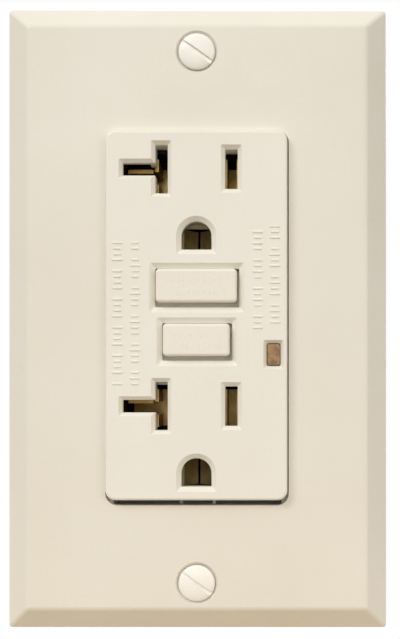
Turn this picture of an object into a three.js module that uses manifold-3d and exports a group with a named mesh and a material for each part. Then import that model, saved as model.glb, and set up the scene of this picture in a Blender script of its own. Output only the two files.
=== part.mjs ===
import * as THREE from 'three';
import { mergeVertices } from 'three/addons/utils/BufferGeometryUtils.js';
import Module from 'manifold-3d';

// A ground-fault duplex receptacle behind its one-gang wall plate, in millimetres.
// +X is to the right as the receptacle is looked at, -Y is towards the room and +Z is up.
// The origin is on the wall surface, midway between the two wall-plate screws.
// It is in its working state: reset latched, contacts closed, every screw tight.

const wasm = await Module();
wasm.setup();

// Driving dimensions
const gap = 0.3; // clearance between pieces that touch on the real object
const past = 1; // how far a cut runs past the face it opens
const lap = 0.1; // how far two joined solids run into each other

const plate = {
  width: 69.85, height: 114.3, depth: 5.6, rim: 1.8, bevel: 4, side: 3.2, corner: 1.2,
  screwSpacing: 96.84,
};
const face = {
  width: 33, height: 66.4, proud: 1.6, wall: 2.4, side: 1.6, corner: 1.8, edge: 0.5,
  plateSide: 0.3, plateTop: 0.2, plateDrop: 1.0, sleeve: 1,
};
const body = { width: 43, height: 69, depth: 28, wall: 2, corner: 1.5, flange: 1.5 };
const strap = {
  length: 106.4, width: 29, thickness: 1.3, earWidth: 38, earLength: 9.2, web: 6.6,
  boxSpacing: 83.3, ringRadius: 5.6, notchHalf: 0.6,
};
const buttonFrame = { width: 25, height: 24.4, windowWidth: 18, windowHeight: 19.8 };

const outlet = { upperLine: 26.1, spacing: 42.65, bladeOffset: 6.35, groundDrop: 11.85 };
const blade = { reach: 17.2, half: 0.75 };
const hotSlot = { width: 2.3, height: 6.8, flare: 0.75 };
const neutralSlot = { width: 2.3, height: 8.5, branchEnd: -13.4, branchHeight: 2.2, flare: 0.7 };
const groundHole = { radius: 2.75, below: 2.6, flare: 0.9 };
const slotFlareDepth = 0.8;

const resetButton = {
  z: 5.0, width: 14.7, height: 6.4, proud: 0.7, depth: 4.9, edge: 0.6, flare: 0.75,
};
const testButton = {
  z: -4.8, width: 12.1, height: 6.2, proud: 0.7, depth: 4.9, edge: 0.6, flare: 0.8,
};
const buttonLip = { reach: 0.85, thickness: 0.8, corner: 0.8 };
const pin = {
  radius: 1.0, flange: 2.0, flangeThickness: 0.8, tip: 2.0, socket: 1.5, boss: 2.5, bossLength: 2,
};
const resetCoil = { radius: 3.3, wire: 0.5, turns: 6 };
const lamp = {
  x: 14.0, z: -7.3, width: 2.3, height: 3.9, flare: 0.5, corner: 0.4, edge: 0.2, sunk: 0.5, behind: 1,
  pipeRadius: 1.2,
};

const board = { thickness: 1.6, clearance: 0.3 };
const floorThickness = 1.4;
const separatorWall = 1.2;
const separatorFront = 1.2;
const leaf = { thickness: 0.7, height: 7, bladeGap: 0.15 };
const contactBar = { near: 9.0, far: 12.0, thickness: 0.8 };
const pad = { radius: 1.2, thickness: 0.7, x: 8.7, loadX: 11.4, z: 8.1, postX: 1.1, postZ: 0.8 };
const arm = { thickness: 0.8, root: -8.2, near: 8.6, far: 11.4, tipNear: 7.2, tipFar: 12.8, tipHalf: 1.5 };

const terminal = {
  z: 19, y: 13, height: 12, depth: 12, pocketFloor: 16.6, pocketPast: 1.5, wall: 1.3, tab: 1.2, tabInset: 0.8,
  clamp: 1.0, clampInset: 0.9,
};
const terminalScrew = { radius: 2.05, headRadius: 3.9, head: 1.8, slotHalf: 0.45, slotDepth: 1.0 };
const wireHole = { radius: 1.6, x: 19.3, offset: 3.3 };

const ring = { z: -19.5, bore: 4.0, outer: 10.7, wall: 0.9, sleeve: 0.6, floor: 0.6 };
const conductor = {
  thickness: 0.8, near: 1.0, width: 3.0, post: 1.2, lap: 0.8, stand: 1.2, boardGap: 0.6,
  loadDrop: 3.6, loadWidth: 2.1, loadHalf: 1.0,
};

const coil = { y: 18.6, bore: 2.1, core: 0.6, outer: 4.5, frame: 1.0, frameLow: 13.2, length: 9.6 };
const plunger = {
  radius: 1.8, nose: 0.9, collar: 3.2, collarHeight: 1.0, inside: 2.5, fire: 2.6,
  spring: 3.8, springRadius: 2.6, wire: 0.4, springTurns: 2.5,
};
const testResistor = { x: -3.4, radius: 1.25, lead: 0.45, leadLength: 0.5, drop: 4.4 };
const led = { radius: 1.5, base: 1.9, baseHeight: 1.2, height: 5.8 };
const chip = {
  x: -15.9, width: 4.6, height: 10, thickness: 2.9, stand: 0.5, legPitch: 2.53, legHalf: 0.3, legReach: 0.6,
  legLift: 1.4, legThickness: 0.4,
};
const thyristor = { x: -10.5, z: 19, radius: 2.4, height: 5, flat: 0.2 };
const varistor = { x: 9.8, y: 19.4, radius: 4.2, low: 26.6, high: 29.8 };
const capacitor = { x: -10.6, z: 28.8, width: 6, height: 5.2, front: 15.2 };

const latch = { halfWidth: 3.2, thickness: 0.8, low: 1.6, topWall: 1.3 };
const lifter = { halfWidth: 12, web: 0.1, front: 1.1, rail: 4.6, lip: 2.5, lipDepth: 1 };

const cornerPost = { x: 17.2, z: 30.2, radius: 2.0, depth: 7 };
const assemblyScrew = { radius: 1.1, head: 2.4, headHeight: 1.2, slotHalf: 0.3, slotDepth: 0.5, tip: 0.8 };

const plateScrew = { radius: 1.6, head: 3.33, crown: 0.75, sink: 1.9, length: 13, slot: 0.7, angle: 35 };
const boxScrew = { radius: 1.6, head: 3.5, headHeight: 1.4, length: 24, slot: 0.8 };
const boxWasher = { size: 8, thickness: 0.6 };
const groundTab = { length: 9.5, top: -35.2, height: 8, screwY: 5.2 };
const groundScrew = { radius: 1.9, head: 4.0, headHeight: 2.4, length: 7, slot: 0.9 };
const groundClip = { half: 2.6, thickness: 0.7, width: 4.4, reach: 9, base: 3.8 };

// Layers, from the room to the back
const strapFront = -strap.thickness;
const flangeBack = strapFront - gap;
const flangeFront = flangeBack - body.flange;
const plateHollow = flangeFront - gap;
const faceFront = -(plate.depth + face.proud);
const faceBack = faceFront + face.wall;
const bridgeFront = faceFront + blade.reach + gap;
const bridgeBack = bridgeFront + contactBar.thickness;
const floorFront = bridgeBack + gap;
const floorBack = floorFront + floorThickness;
const insideBack = body.depth - body.wall;
const boardBack = insideBack - board.clearance;
const boardFront = boardBack - board.thickness;
const stripFront = floorBack + gap;
const stripBack = stripFront + conductor.thickness;
const fixedPadBack = stripBack + pad.thickness;
const movingPadFront = fixedPadBack + gap;
const armFront = movingPadFront + pad.thickness;
const armBack = armFront + arm.thickness;
const lifterFront = armBack + gap;
const backStripBack = boardFront - conductor.boardGap;
const backStripFront = backStripBack - conductor.thickness;
const cupFront = stripBack + gap;
const cupBack = backStripFront - gap;

const lowerLine = outlet.upperLine - outlet.spacing;
const bladeLines = { upper: outlet.upperLine, lower: lowerLine };
const plateBoss = (plate.screwSpacing - strap.boxSpacing) / 2 - boxScrew.head - gap;
const windowMiddle = (face.plateTop - face.plateDrop) / 2;

// Geometry helpers

function solidOf(geometry) {
  const bare = new THREE.BufferGeometry();
  bare.setAttribute('position', geometry.getAttribute('position').clone());
  if (geometry.index) bare.setIndex(geometry.index.clone());
  const merged = mergeVertices(bare, 1e-4);
  const points = merged.getAttribute('position');
  const index = merged.index.array;
  const a = new THREE.Vector3();
  const b = new THREE.Vector3();
  const c = new THREE.Vector3();
  const faces = [];
  let volume = 0;
  for (let i = 0; i < index.length; i += 3) {
    const [p, q, r] = [index[i], index[i + 1], index[i + 2]];
    if (p === q || q === r || r === p) continue;
    faces.push(p, q, r);
    a.fromBufferAttribute(points, p);
    b.fromBufferAttribute(points, q);
    c.fromBufferAttribute(points, r);
    volume += a.dot(b.cross(c));
  }
  if (volume < 0) faces.reverse();
  const vertProperties = new Float32Array(points.array);
  return new wasm.Manifold(new wasm.Mesh({ numProp: 3, vertProperties, triVerts: new Uint32Array(faces) }));
}

function geometryOf(solid) {
  const { vertProperties, triVerts } = solid.getMesh();
  const geometry = new THREE.BufferGeometry();
  geometry.setAttribute('position', new THREE.BufferAttribute(vertProperties, 3));
  geometry.setIndex(new THREE.BufferAttribute(triVerts, 1));
  geometry.computeVertexNormals();
  return geometry;
}

function joined(...solids) {
  return solids.reduce((whole, next) => whole.add(next));
}

function without(solid, ...cuts) {
  return cuts.reduce((left, cut) => left.subtract(cut), solid);
}

// A block between a low and a high value on each axis
function block([x0, x1], [y0, y1], [z0, z1]) {
  const geometry = new THREE.BoxGeometry(Math.abs(x1 - x0), Math.abs(y1 - y0), Math.abs(z1 - z0));
  geometry.translate((x0 + x1) / 2, (y0 + y1) / 2, (z0 + z1) / 2);
  return solidOf(geometry);
}

// A rectangle with round corners, about a centre in X and Z
function rectangle(x, z, width, height, radius) {
  const right = width / 2 - radius;
  const top = height / 2 - radius;
  const outline = new THREE.Shape();
  outline.absarc(x + right, z + top, radius, 0, Math.PI / 2);
  outline.absarc(x - right, z + top, radius, Math.PI / 2, Math.PI);
  outline.absarc(x - right, z - top, radius, Math.PI, Math.PI * 1.5);
  outline.absarc(x + right, z - top, radius, Math.PI * 1.5, Math.PI * 2);
  outline.closePath();
  return outline;
}

function sharpRectangle(width, height) {
  const outline = new THREE.Shape();
  outline.moveTo(-width / 2, -height / 2);
  outline.lineTo(width / 2, -height / 2);
  outline.lineTo(width / 2, height / 2);
  outline.lineTo(-width / 2, height / 2);
  outline.closePath();
  return outline;
}

// Round on top and flat below, as a grounding pin's hole is
function groundOutline(z, grow = 0) {
  const radius = groundHole.radius + grow;
  const outline = new THREE.Shape();
  outline.moveTo(radius, z - groundHole.below - grow);
  outline.absarc(0, z, radius, 0, Math.PI);
  outline.lineTo(-radius, z - groundHole.below - grow);
  outline.closePath();
  return outline;
}

// An outline in X and Z, carried from front to back
function slab(outline, front, back, steps = 2) {
  const geometry = new THREE.ExtrudeGeometry(outline, {
    depth: back - front, bevelEnabled: false, curveSegments: steps,
  });
  geometry.rotateX(Math.PI / 2);
  geometry.translate(0, back, 0);
  return solidOf(geometry);
}

// A slab whose front edge is bevelled or rounded; its outline is that of the back,
// or that of the front face where spread is set
function raised(outline, front, back, edge, { rounds = 1, rise = edge, spread = false } = {}) {
  const geometry = new THREE.ExtrudeGeometry(outline, {
    depth: back - front - rise, curveSegments: 2, bevelSegments: rounds,
    bevelThickness: rise, bevelSize: edge, bevelOffset: spread ? 0 : -edge,
  });
  geometry.rotateX(Math.PI / 2);
  geometry.translate(0, back, 0);
  const wide = 200;
  return solidOf(geometry).subtract(block([-wide, wide], [back, back + rise + past], [-wide, wide]));
}

// A cutter for a slot whose mouth widens towards the front
function flaredCut(outline, mouth, back, flare, steps = 2) {
  const geometry = new THREE.ExtrudeGeometry(outline, {
    depth: past, curveSegments: steps, bevelSegments: 1,
    bevelThickness: slotFlareDepth, bevelSize: flare,
  });
  geometry.rotateX(Math.PI / 2);
  geometry.translate(0, mouth, 0);
  return solidOf(geometry).add(slab(outline, mouth, back, steps));
}

// A round bar along one axis; at holds the other two coordinates in X, Y, Z order
function rod(axis, radius, from, to, at, sides = 16) {
  const geometry = new THREE.CylinderGeometry(radius, radius, to - from, sides);
  const middle = (from + to) / 2;
  if (axis === 'x') geometry.rotateZ(Math.PI / 2).translate(middle, at[0], at[1]);
  if (axis === 'y') geometry.translate(at[0], middle, at[1]);
  if (axis === 'z') geometry.rotateX(Math.PI / 2).translate(at[0], at[1], middle);
  return solidOf(geometry);
}

// A profile of radius and height turned about the Y axis
function turned(profile, sides = 18) {
  const points = profile.map(([radius, height]) => new THREE.Vector2(radius, height));
  return solidOf(new THREE.LatheGeometry(points, sides));
}

// A ring about the Y axis with a square section
function hollowRing(inner, outer, low, high, sides = 18) {
  return turned([[inner, low], [outer, low], [outer, high], [inner, high], [inner, low]], sides);
}

class Helix extends THREE.Curve {
  constructor(radius, height, turns) {
    super();
    this.radius = radius;
    this.height = height;
    this.turns = turns;
  }

  getPoint(t, target = new THREE.Vector3()) {
    const turn = t * this.turns * Math.PI * 2;
    return target.set(this.radius * Math.cos(turn), this.height * t, this.radius * Math.sin(turn));
  }
}

// A coil spring along Y, from 0 to its length
function spring(radius, wire, length, turns) {
  const section = new THREE.Shape();
  section.absarc(0, 0, wire / 2, 0, Math.PI * 2);
  return solidOf(new THREE.ExtrudeGeometry(section, {
    steps: Math.round(turns * 9), curveSegments: 3, bevelEnabled: false,
    extrudePath: new Helix(radius, length - wire, turns),
  }));
}

const device = new THREE.Group();

// Adds one piece under its name; place may hold a position and a rotation
function add(name, solid, [color, roughness, metalness], place = {}) {
  const material = new THREE.MeshStandardMaterial({ color, roughness, metalness });
  const mesh = new THREE.Mesh(geometryOf(solid), material);
  mesh.name = name;
  mesh.position.set(...(place.position ?? [0, 0, 0]));
  mesh.rotation.set(...(place.rotation ?? [0, 0, 0]));
  device.add(mesh);
}

const ivory = ['#e8dfc8', 0.45, 0];
const ivoryBright = ['#efe6cf', 0.4, 0];
const paintedSteel = ['#ece5d2', 0.4, 0.2];
const brass = ['#b9924a', 0.35, 0.9];
const steel = ['#b8b8b4', 0.4, 0.9];
const silvered = ['#cfcfc8', 0.35, 0.9];
const greenSteel = ['#3f7a4c', 0.45, 0.6];
const darkPlastic = ['#2f3133', 0.6, 0];
const greyPlastic = ['#8b8f92', 0.6, 0];
const amber = ['#c98a3a', 0.3, 0];
const boardGreen = ['#2f5d3a', 0.6, 0];
const copper = ['#b5683a', 0.4, 0.8];
const bluePlastic = ['#2c5c8f', 0.5, 0];
const card = ['#b89b72', 0.9, 0];
const clayBrown = ['#8a5a2b', 0.6, 0];

// Wall plate

function wallPlate() {
  const front = -plate.depth;
  const shell = raised(
    sharpRectangle(plate.width - 2 * plate.bevel, plate.height - 2 * plate.bevel),
    front, 0, plate.bevel, { rise: plate.depth - plate.rim, spread: true },
  ).intersect(slab(rectangle(0, 0, plate.width, plate.height, plate.corner), front - past, past));
  const hollow = slab(
    rectangle(0, 0, plate.width - 2 * plate.side, plate.height - 2 * plate.side, plate.corner),
    plateHollow, past,
  );
  const window = slab(
    rectangle(
      0, windowMiddle, face.width + 2 * face.plateSide,
      face.height + face.plateTop + face.plateDrop, face.corner + face.plateSide,
    ),
    front - past, past, 3,
  );
  let solid = without(shell, hollow);
  for (const z of [plate.screwSpacing / 2, -plate.screwSpacing / 2]) {
    solid = joined(solid, rod('y', plateBoss, plateHollow - past / 2, strapFront - gap, [0, z]));
    solid = without(solid, screwSeat().translate([0, front, z]));
  }
  return without(solid, window);
}

// The countersunk hole of a wall-plate screw, from the plate's face inwards
function screwSeat() {
  const head = plateScrew.head + gap;
  const shank = plateScrew.radius + gap;
  return turned([
    [0, -past], [head, -past], [head, 0], [shank, plateScrew.sink], [shank, plate.depth + past],
    [0, plate.depth + past],
  ]);
}

function plateScrewSolid() {
  const { radius, head, crown, sink, length, slot } = plateScrew;
  const solid = turned([
    [0, -crown], [head * 0.4, -crown * 0.86], [head * 0.75, -crown * 0.48], [head, 0],
    [radius, sink], [radius, length - 1], [radius * 0.6, length], [0, length],
  ], 20);
  return without(solid, block([-head - past, head + past], [-crown - past, lap], [-slot / 2, slot / 2]));
}

// Strap that carries the device, its ground clips and its screws

function mountingStrap() {
  const end = strap.length / 2;
  const bodyEnd = body.height / 2;
  const back = 0;
  const pieces = [slab(rectangle(0, 0, strap.web, 2 * bodyEnd, 0.5), strapFront, back)];
  for (const side of [1, -1]) {
    const neck = rectangle(0, side * (end + bodyEnd - body.wall - gap) / 2, strap.width,
      end - bodyEnd + body.wall + gap, 1);
    const ears = rectangle(0, side * (end - strap.earLength / 2), strap.earWidth, strap.earLength, 2);
    pieces.push(slab(neck, strapFront, back), slab(ears, strapFront, back));
  }
  for (const line of Object.values(bladeLines)) {
    pieces.push(rod('y', strap.ringRadius, strapFront, back, [0, line - outlet.groundDrop], 20));
  }
  pieces.push(slab(rectangle(0, 0, buttonFrame.width, buttonFrame.height, 1), strapFront, back));
  pieces.push(block(
    [-strap.width / 2, -strap.width / 2 + strap.thickness], [strapFront, groundTab.length],
    [groundTab.top - groundTab.height, groundTab.top],
  ));
  const cuts = [slab(
    rectangle(0, 0, buttonFrame.windowWidth, buttonFrame.windowHeight, 1), strapFront - past, past,
  )];
  for (const line of Object.values(bladeLines)) {
    cuts.push(slab(groundOutline(line - outlet.groundDrop, gap), strapFront - past, past, 5));
  }
  for (const side of [1, -1]) {
    const tapped = [0, side * plate.screwSpacing / 2];
    cuts.push(rod('y', plateScrew.radius + gap, strapFront - past, past, tapped));
    const slotLength = 4 * boxScrew.radius;
    cuts.push(slab(
      rectangle(0, side * strap.boxSpacing / 2, slotLength, 2 * (boxScrew.radius + gap), boxScrew.radius),
      strapFront - past, past, 3,
    ));
    for (const corner of [1, -1]) {
      const x = corner * strap.width / 2;
      const notch = [side * (end - strap.earLength - past), side * (end - strap.earLength * 0.35)];
      cuts.push(block([x - strap.notchHalf, x + strap.notchHalf], [strapFront - past, past], notch));
    }
  }
  cuts.push(rod('x', groundScrew.radius + gap, -strap.width / 2 - past, -strap.width / 2 + 3,
    [groundTab.screwY, groundTab.top - groundTab.height / 2]));
  return without(joined(...pieces), ...cuts);
}

function boxScrewSolid() {
  const { radius, head, headHeight, length, slot } = boxScrew;
  const solid = turned([
    [0, -headHeight], [head * 0.7, -headHeight], [head, -headHeight * 0.4], [head, 0], [radius, 0],
    [radius, length - 1.5], [radius * 0.5, length], [0, length],
  ], 18);
  return without(solid, block([-head - past, head + past], [-headHeight - past, -headHeight * 0.4],
    [-slot / 2, slot / 2]));
}

function boxWasherSolid() {
  const sheet = slab(rectangle(0, 0, boxWasher.size, boxWasher.size, 1), 0, boxWasher.thickness);
  return without(sheet, rod('y', boxScrew.radius + gap, -past, boxWasher.thickness + past, [0, 0]));
}

function groundScrewSolid() {
  const { radius, head, headHeight, length, slot } = groundScrew;
  const solid = joined(
    rod('y', head, -headHeight * 0.25, 0, [0, 0], 18),
    rod('y', head * 0.82, -headHeight, 0, [0, 0], 6),
    rod('y', radius, -lap, length, [0, 0], 16),
  );
  const slotDepth = [-headHeight - past, -headHeight * 0.5];
  return without(solid, block([-head, head], slotDepth, [-slot / 2, slot / 2]));
}

// A clip that grips a plug's grounding pin behind the strap
function groundClipSolid() {
  const { half, thickness, width, reach, base } = groundClip;
  let solid = slab(rectangle(0, 0, 2 * base, 2 * base, 1), gap, gap + thickness);
  for (const side of [1, -1]) {
    const inner = side * half;
    const outer = side * (half + thickness);
    const low = Math.min(inner, outer);
    const high = Math.max(inner, outer);
    solid = joined(solid, block([low, high], [gap, reach], [-width / 2, width / 2]));
  }
  return without(solid, slab(groundOutline(0, 0), gap - past, gap + thickness + past, 5),
    block([-half, half], [gap - past, gap + thickness + past], [-width / 2, width / 2]));
}

// Front cover with its slots

function slotOutline(line, kind) {
  const side = kind === 'hot' ? 1 : -1;
  const slot = kind === 'hot' ? hotSlot : neutralSlot;
  const x = side * outlet.bladeOffset;
  const left = x - slot.width / 2;
  const right = x + slot.width / 2;
  const top = line + slot.height / 2;
  const low = line - slot.height / 2;
  const outline = new THREE.Shape();
  outline.moveTo(left, low);
  outline.lineTo(right, low);
  outline.lineTo(right, top);
  outline.lineTo(left, top);
  if (kind === 'neutral') {
    const branch = neutralSlot.branchHeight / 2;
    outline.lineTo(left, line + branch);
    outline.lineTo(neutralSlot.branchEnd, line + branch);
    outline.lineTo(neutralSlot.branchEnd, line - branch);
    outline.lineTo(left, line - branch);
  }
  outline.closePath();
  return outline;
}

function faceCover() {
  const insert = raised(
    rectangle(0, 0, face.width, face.height, face.corner), faceFront, flangeBack, face.edge,
    { rounds: 2 },
  );
  const flange = slab(rectangle(0, 0, body.width, body.height, body.corner), flangeFront, flangeBack);
  const hollow = slab(
    rectangle(0, 0, face.width - 2 * face.side, face.height - 2 * face.side, 0.6),
    faceBack, flangeBack + past,
  );
  let solid = without(joined(insert, flange), hollow);
  const cuts = [];
  for (const line of Object.values(bladeLines)) {
    for (const kind of ['hot', 'neutral']) {
      const slot = kind === 'hot' ? hotSlot : neutralSlot;
      const x = (kind === 'hot' ? 1 : -1) * outlet.bladeOffset;
      solid = joined(solid, slab(
        rectangle(x, line, slot.width + 2 * face.sleeve, slot.height + 2 * face.sleeve, 0.4),
        faceBack - lap, flangeBack,
      ));
      cuts.push(flaredCut(slotOutline(line, kind), faceFront, flangeBack + past, slot.flare));
    }
    const ground = line - outlet.groundDrop;
    solid = joined(solid, slab(groundOutline(ground, face.sleeve), faceBack - lap, flangeBack, 5));
    cuts.push(flaredCut(groundOutline(ground), faceFront, flangeBack + past, groundHole.flare, 5));
  }
  for (const button of [resetButton, testButton]) {
    const hole = rectangle(0, button.z, button.width + 2 * gap, button.height + 2 * gap, 1);
    cuts.push(flaredCut(hole, faceFront, flangeBack + past, button.flare));
  }
  const window = rectangle(lamp.x, lamp.z, lamp.width + 2 * gap, lamp.height + 2 * gap, 0.6);
  cuts.push(flaredCut(window, faceFront, flangeBack + past, lamp.flare));
  for (const [x, z] of cornerPlaces()) {
    solid = joined(solid, rod('y', cornerPost.radius, flangeFront + lap, cornerPost.depth, [x, z], 12));
    cuts.push(rod('y', assemblyScrew.radius + gap, flangeBack, cornerPost.depth + past, [x, z], 10));
  }
  return without(solid, ...cuts);
}

function cornerPlaces() {
  const { x, z } = cornerPost;
  return [[x, z], [-x, z], [x, -z], [-x, -z]];
}

function lightPipe() {
  const end = partBack - led.height;
  const window = raised(
    rectangle(lamp.x, lamp.z, lamp.width, lamp.height, lamp.corner), faceFront + lamp.sunk,
    faceBack + lamp.behind, lamp.edge,
  );
  return joined(window, rod('y', lamp.pipeRadius, faceBack, end, [lamp.x, lamp.z], 16));
}

// Buttons

function buttonCap(button, extras) {
  const front = faceFront - button.proud;
  const back = front + button.depth;
  const cap = raised(
    rectangle(0, button.z, button.width, button.height, buttonLip.corner), front, back, button.edge,
    { rounds: 2 },
  );
  const lip = slab(
    rectangle(
      0, button.z, button.width + 2 * buttonLip.reach, button.height + 2 * buttonLip.reach,
      buttonLip.corner,
    ),
    faceBack + gap, faceBack + gap + buttonLip.thickness,
  );
  return joined(cap, lip, ...extras(back));
}

const resetBack = faceFront - resetButton.proud + resetButton.depth;
const testBack = faceFront - testButton.proud + testButton.depth;
const pinStart = resetBack - pin.socket;
const bossEnd = resetBack + pin.bossLength;

function resetButtonSolid() {
  const solid = buttonCap(resetButton, (back) => [
    rod('y', pin.boss, back - lap, bossEnd, [0, resetButton.z], 20),
  ]);
  return without(solid, rod('y', pin.radius + gap, pinStart - gap, bossEnd + past, [0, resetButton.z], 16));
}

const stem = { near: -1, far: -2.2, height: 2, end: testBack + 2.4 };

function testButtonSolid() {
  return buttonCap(testButton, (back) => [
    block([stem.far, stem.near], [back - lap, stem.end],
      [testButton.z - stem.height / 2, testButton.z + stem.height / 2]),
  ]);
}

const bladeFront = stem.end + gap;
const testBlade = { thickness: 0.6, height: 3, tip: -4.4, root: 7.0, curl: 0.7, post: 0.9 };

function testBladeSolid() {
  const half = testBlade.height / 2;
  const [low, high] = [testButton.z - half, testButton.z + half];
  return joined(
    block([testBlade.tip, testBlade.root], [bladeFront, bladeFront + testBlade.thickness], [low, high]),
    rod('z', testBlade.curl, low, high, [testBlade.root, bladeFront + testBlade.thickness / 2], 12),
  );
}

// The end of the reset pin hooks behind the latch
const latchFront = lifterFront + lifter.front + gap;
const latchBack = latchFront + latch.thickness;
const pinFlangeFront = latchBack + gap;
const pinFlangeBack = pinFlangeFront + pin.flangeThickness;
const pinEnd = pinFlangeBack + pin.tip;

function resetPinSolid() {
  return turned([
    [0, pinStart], [pin.radius, pinStart], [pin.radius, pinFlangeFront], [pin.flange, pinFlangeFront],
    [pin.flange, pinFlangeBack], [pin.radius * 0.6, pinEnd], [0, pinEnd],
  ], 16);
}

// Contacts that grip a plug's blades, and the separator under them

function between(a, b) {
  return [Math.min(a, b), Math.max(a, b)];
}

function sidePair(centre, halfGap, thickness) {
  return [[centre - halfGap - thickness, centre - halfGap], [centre + halfGap, centre + halfGap + thickness]];
}

const leafFront = strapFront + 0.3;
const branchTip = neutralSlot.branchEnd + 0.5;

function faceContact(side) {
  const span = (from, to) => (side > 0 ? [from, to] : [-to, -from]);
  const halfGap = blade.half + leaf.bladeGap;
  const [inner, outer] = sidePair(outlet.bladeOffset, halfGap, leaf.thickness);
  const bridge = [bridgeFront, bridgeBack];
  const pieces = [
    block(span(contactBar.near, contactBar.far), bridge,
      [lowerLine - leaf.height / 2, outlet.upperLine + leaf.height / 2]),
    block(span(pad.x - pad.postX, pad.x + pad.postX), [bridgeFront, stripBack],
      [pad.z - pad.postZ, pad.z + pad.postZ]),
    rod('y', pad.radius, stripBack - lap, fixedPadBack, [side * pad.x, pad.z], 16),
  ];
  for (const line of Object.values(bladeLines)) {
    const [low, high] = [line - leaf.height / 2, line + leaf.height / 2];
    pieces.push(block(span(inner[0], contactBar.near + lap), bridge, [low, high]));
    pieces.push(block(span(...inner), [leafFront, bridgeBack], [low, high]));
    if (side > 0) {
      pieces.push(block(span(...outer), [leafFront, bridgeBack], [low, high]));
      continue;
    }
    for (const part of [1, -1]) {
      const near = line + part * (halfGap + gap);
      const far = line + part * leaf.height / 2;
      const leafDepth = [leafFront, bridgeBack];
      pieces.push(block(span(...outer), leafDepth, between(near, far)));
      const branch = between(line + part * halfGap, line + part * (halfGap + leaf.thickness));
      pieces.push(block([branchTip, -outer[1] - gap], leafDepth, branch));
    }
    pieces.push(block([branchTip, -contactBar.far + lap], bridge,
      [line - halfGap - leaf.thickness, line + halfGap + leaf.thickness]));
  }
  return joined(...pieces);
}

// The inside of the housing, shrunk by an inset, from front to back
function cavity(inset, front, back) {
  const halfWidth = body.width / 2 - body.wall - inset;
  const halfHeight = body.height / 2 - body.wall - inset;
  const whole = slab(rectangle(0, 0, 2 * halfWidth, 2 * halfHeight, 0.5), front, back);
  const cuts = [];
  const wallLine = terminal.pocketFloor - terminal.wall - inset;
  const reach = terminal.height / 2 + terminal.wall + inset;
  const far = body.width;
  for (const side of [1, -1]) {
    for (const end of [1, -1]) {
      const z = end * terminal.z;
      const xs = side > 0 ? [wallLine, far] : [-far, -wallLine];
      cuts.push(block(xs, [front - past, back + past], [z - reach, z + reach]));
      const nearX = cornerPost.x - cornerPost.radius - inset;
      const nearZ = cornerPost.z - cornerPost.radius - inset;
      const postX = side > 0 ? [nearX, far] : [-far, -nearX];
      const postZ = end > 0 ? [nearZ, body.height] : [-body.height, -nearZ];
      cuts.push(block(postX, [front - past, back + past], postZ));
    }
  }
  return without(whole, ...cuts);
}

function separatorSolid() {
  const tray = without(
    cavity(gap, separatorFront, floorBack),
    cavity(gap + separatorWall, separatorFront - past, floorFront),
  );
  const holes = [
    rod('y', pin.flange + gap, floorFront - past, floorBack + past, [0, resetButton.z], 16),
    rod('y', lamp.pipeRadius + gap, floorFront - past, floorBack + past, [lamp.x, lamp.z], 16),
  ];
  for (const side of [1, -1]) {
    const x = side * pad.x;
    holes.push(block(
      [x - pad.postX - gap, x + pad.postX + gap], [floorFront - past, floorBack + past],
      [pad.z - pad.postZ - gap, pad.z + pad.postZ + gap],
    ));
  }
  const postNear = testBlade.root + testBlade.curl + gap;
  const post = block(
    [postNear, postNear + testBlade.post], [bladeFront - testBlade.thickness, floorFront + lap],
    [testButton.z - testBlade.height / 2, testButton.z + testBlade.height / 2],
  );
  return joined(without(tray, solenoidRoom(), ...holes), post);
}

function testResistorSolid() {
  const { x, radius, lead, leadLength, drop } = testResistor;
  const at = [x, testButton.z];
  const start = bladeFront + drop;
  return joined(
    rod('y', radius, start, floorFront - gap, at, 16),
    rod('y', lead, start - leadLength, start + lap, at, 12),
  );
}

// Circuit board and what stands on it

// Room round the solenoid, which cuts into the board or the separator only if it reaches them
function solenoidRoom() {
  const half = spoolRadius + 2 * gap;
  return block([-half, half + coil.frame], [coil.y - half, coil.y + half], [frameLow - gap, frameHigh + gap]);
}

function circuitBoard() {
  return without(
    cavity(gap, boardFront, boardBack),
    solenoidRoom(),
    rod('y', pin.flange + gap, boardFront - past, boardBack + past, [0, resetButton.z], 16),
  );
}

const partBack = boardFront - gap;

function indicatorLed() {
  const { radius, base, baseHeight } = led;
  const tip = partBack - led.height + gap;
  return turned([
    [0, tip], [radius * 0.53, tip + radius * 0.17], [radius * 0.87, tip + radius * 0.53],
    [radius, tip + radius],
    [radius, partBack - baseHeight], [base, partBack - baseHeight], [base, partBack], [0, partBack],
  ], 16);
}

function controlChip() {
  const { width, height, thickness, stand, legPitch, legHalf, legReach, legLift, legThickness } = chip;
  const [left, right] = [chip.x - width / 2, chip.x + width / 2];
  const legs = [];
  for (const place of [-1.5, -0.5, 0.5, 1.5]) {
    const row = [place * legPitch - legHalf, place * legPitch + legHalf];
    const legTop = partBack - legLift - legThickness;
    legs.push(block([left - legReach, right + legReach], [legTop, partBack - legLift], row));
    legs.push(block([left - legReach, left - legReach + legThickness], [legTop, partBack], row));
    legs.push(block([right + legReach - legThickness, right + legReach], [legTop, partBack], row));
  }
  const depth = [partBack - stand - thickness, partBack - stand];
  return joined(block([left, right], depth, [-height / 2, height / 2]), ...legs);
}

function thyristorSolid() {
  const outline = new THREE.Shape();
  const { x, z, radius, height, flat } = thyristor;
  outline.absarc(x, z, radius, -Math.PI * flat, Math.PI * (1 + flat));
  outline.closePath();
  return slab(outline, partBack - height, partBack, 5);
}

function varistorSolid() {
  const { x, y, radius, low, high } = varistor;
  return rod('z', radius, low, high, [x, y], 20);
}

function capacitorSolid() {
  const { x, z, width, height, front } = capacitor;
  return block([x - width / 2, x + width / 2], [front, partBack], [z - height / 2, z + height / 2]);
}

// Sensor rings round the two line conductors

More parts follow.
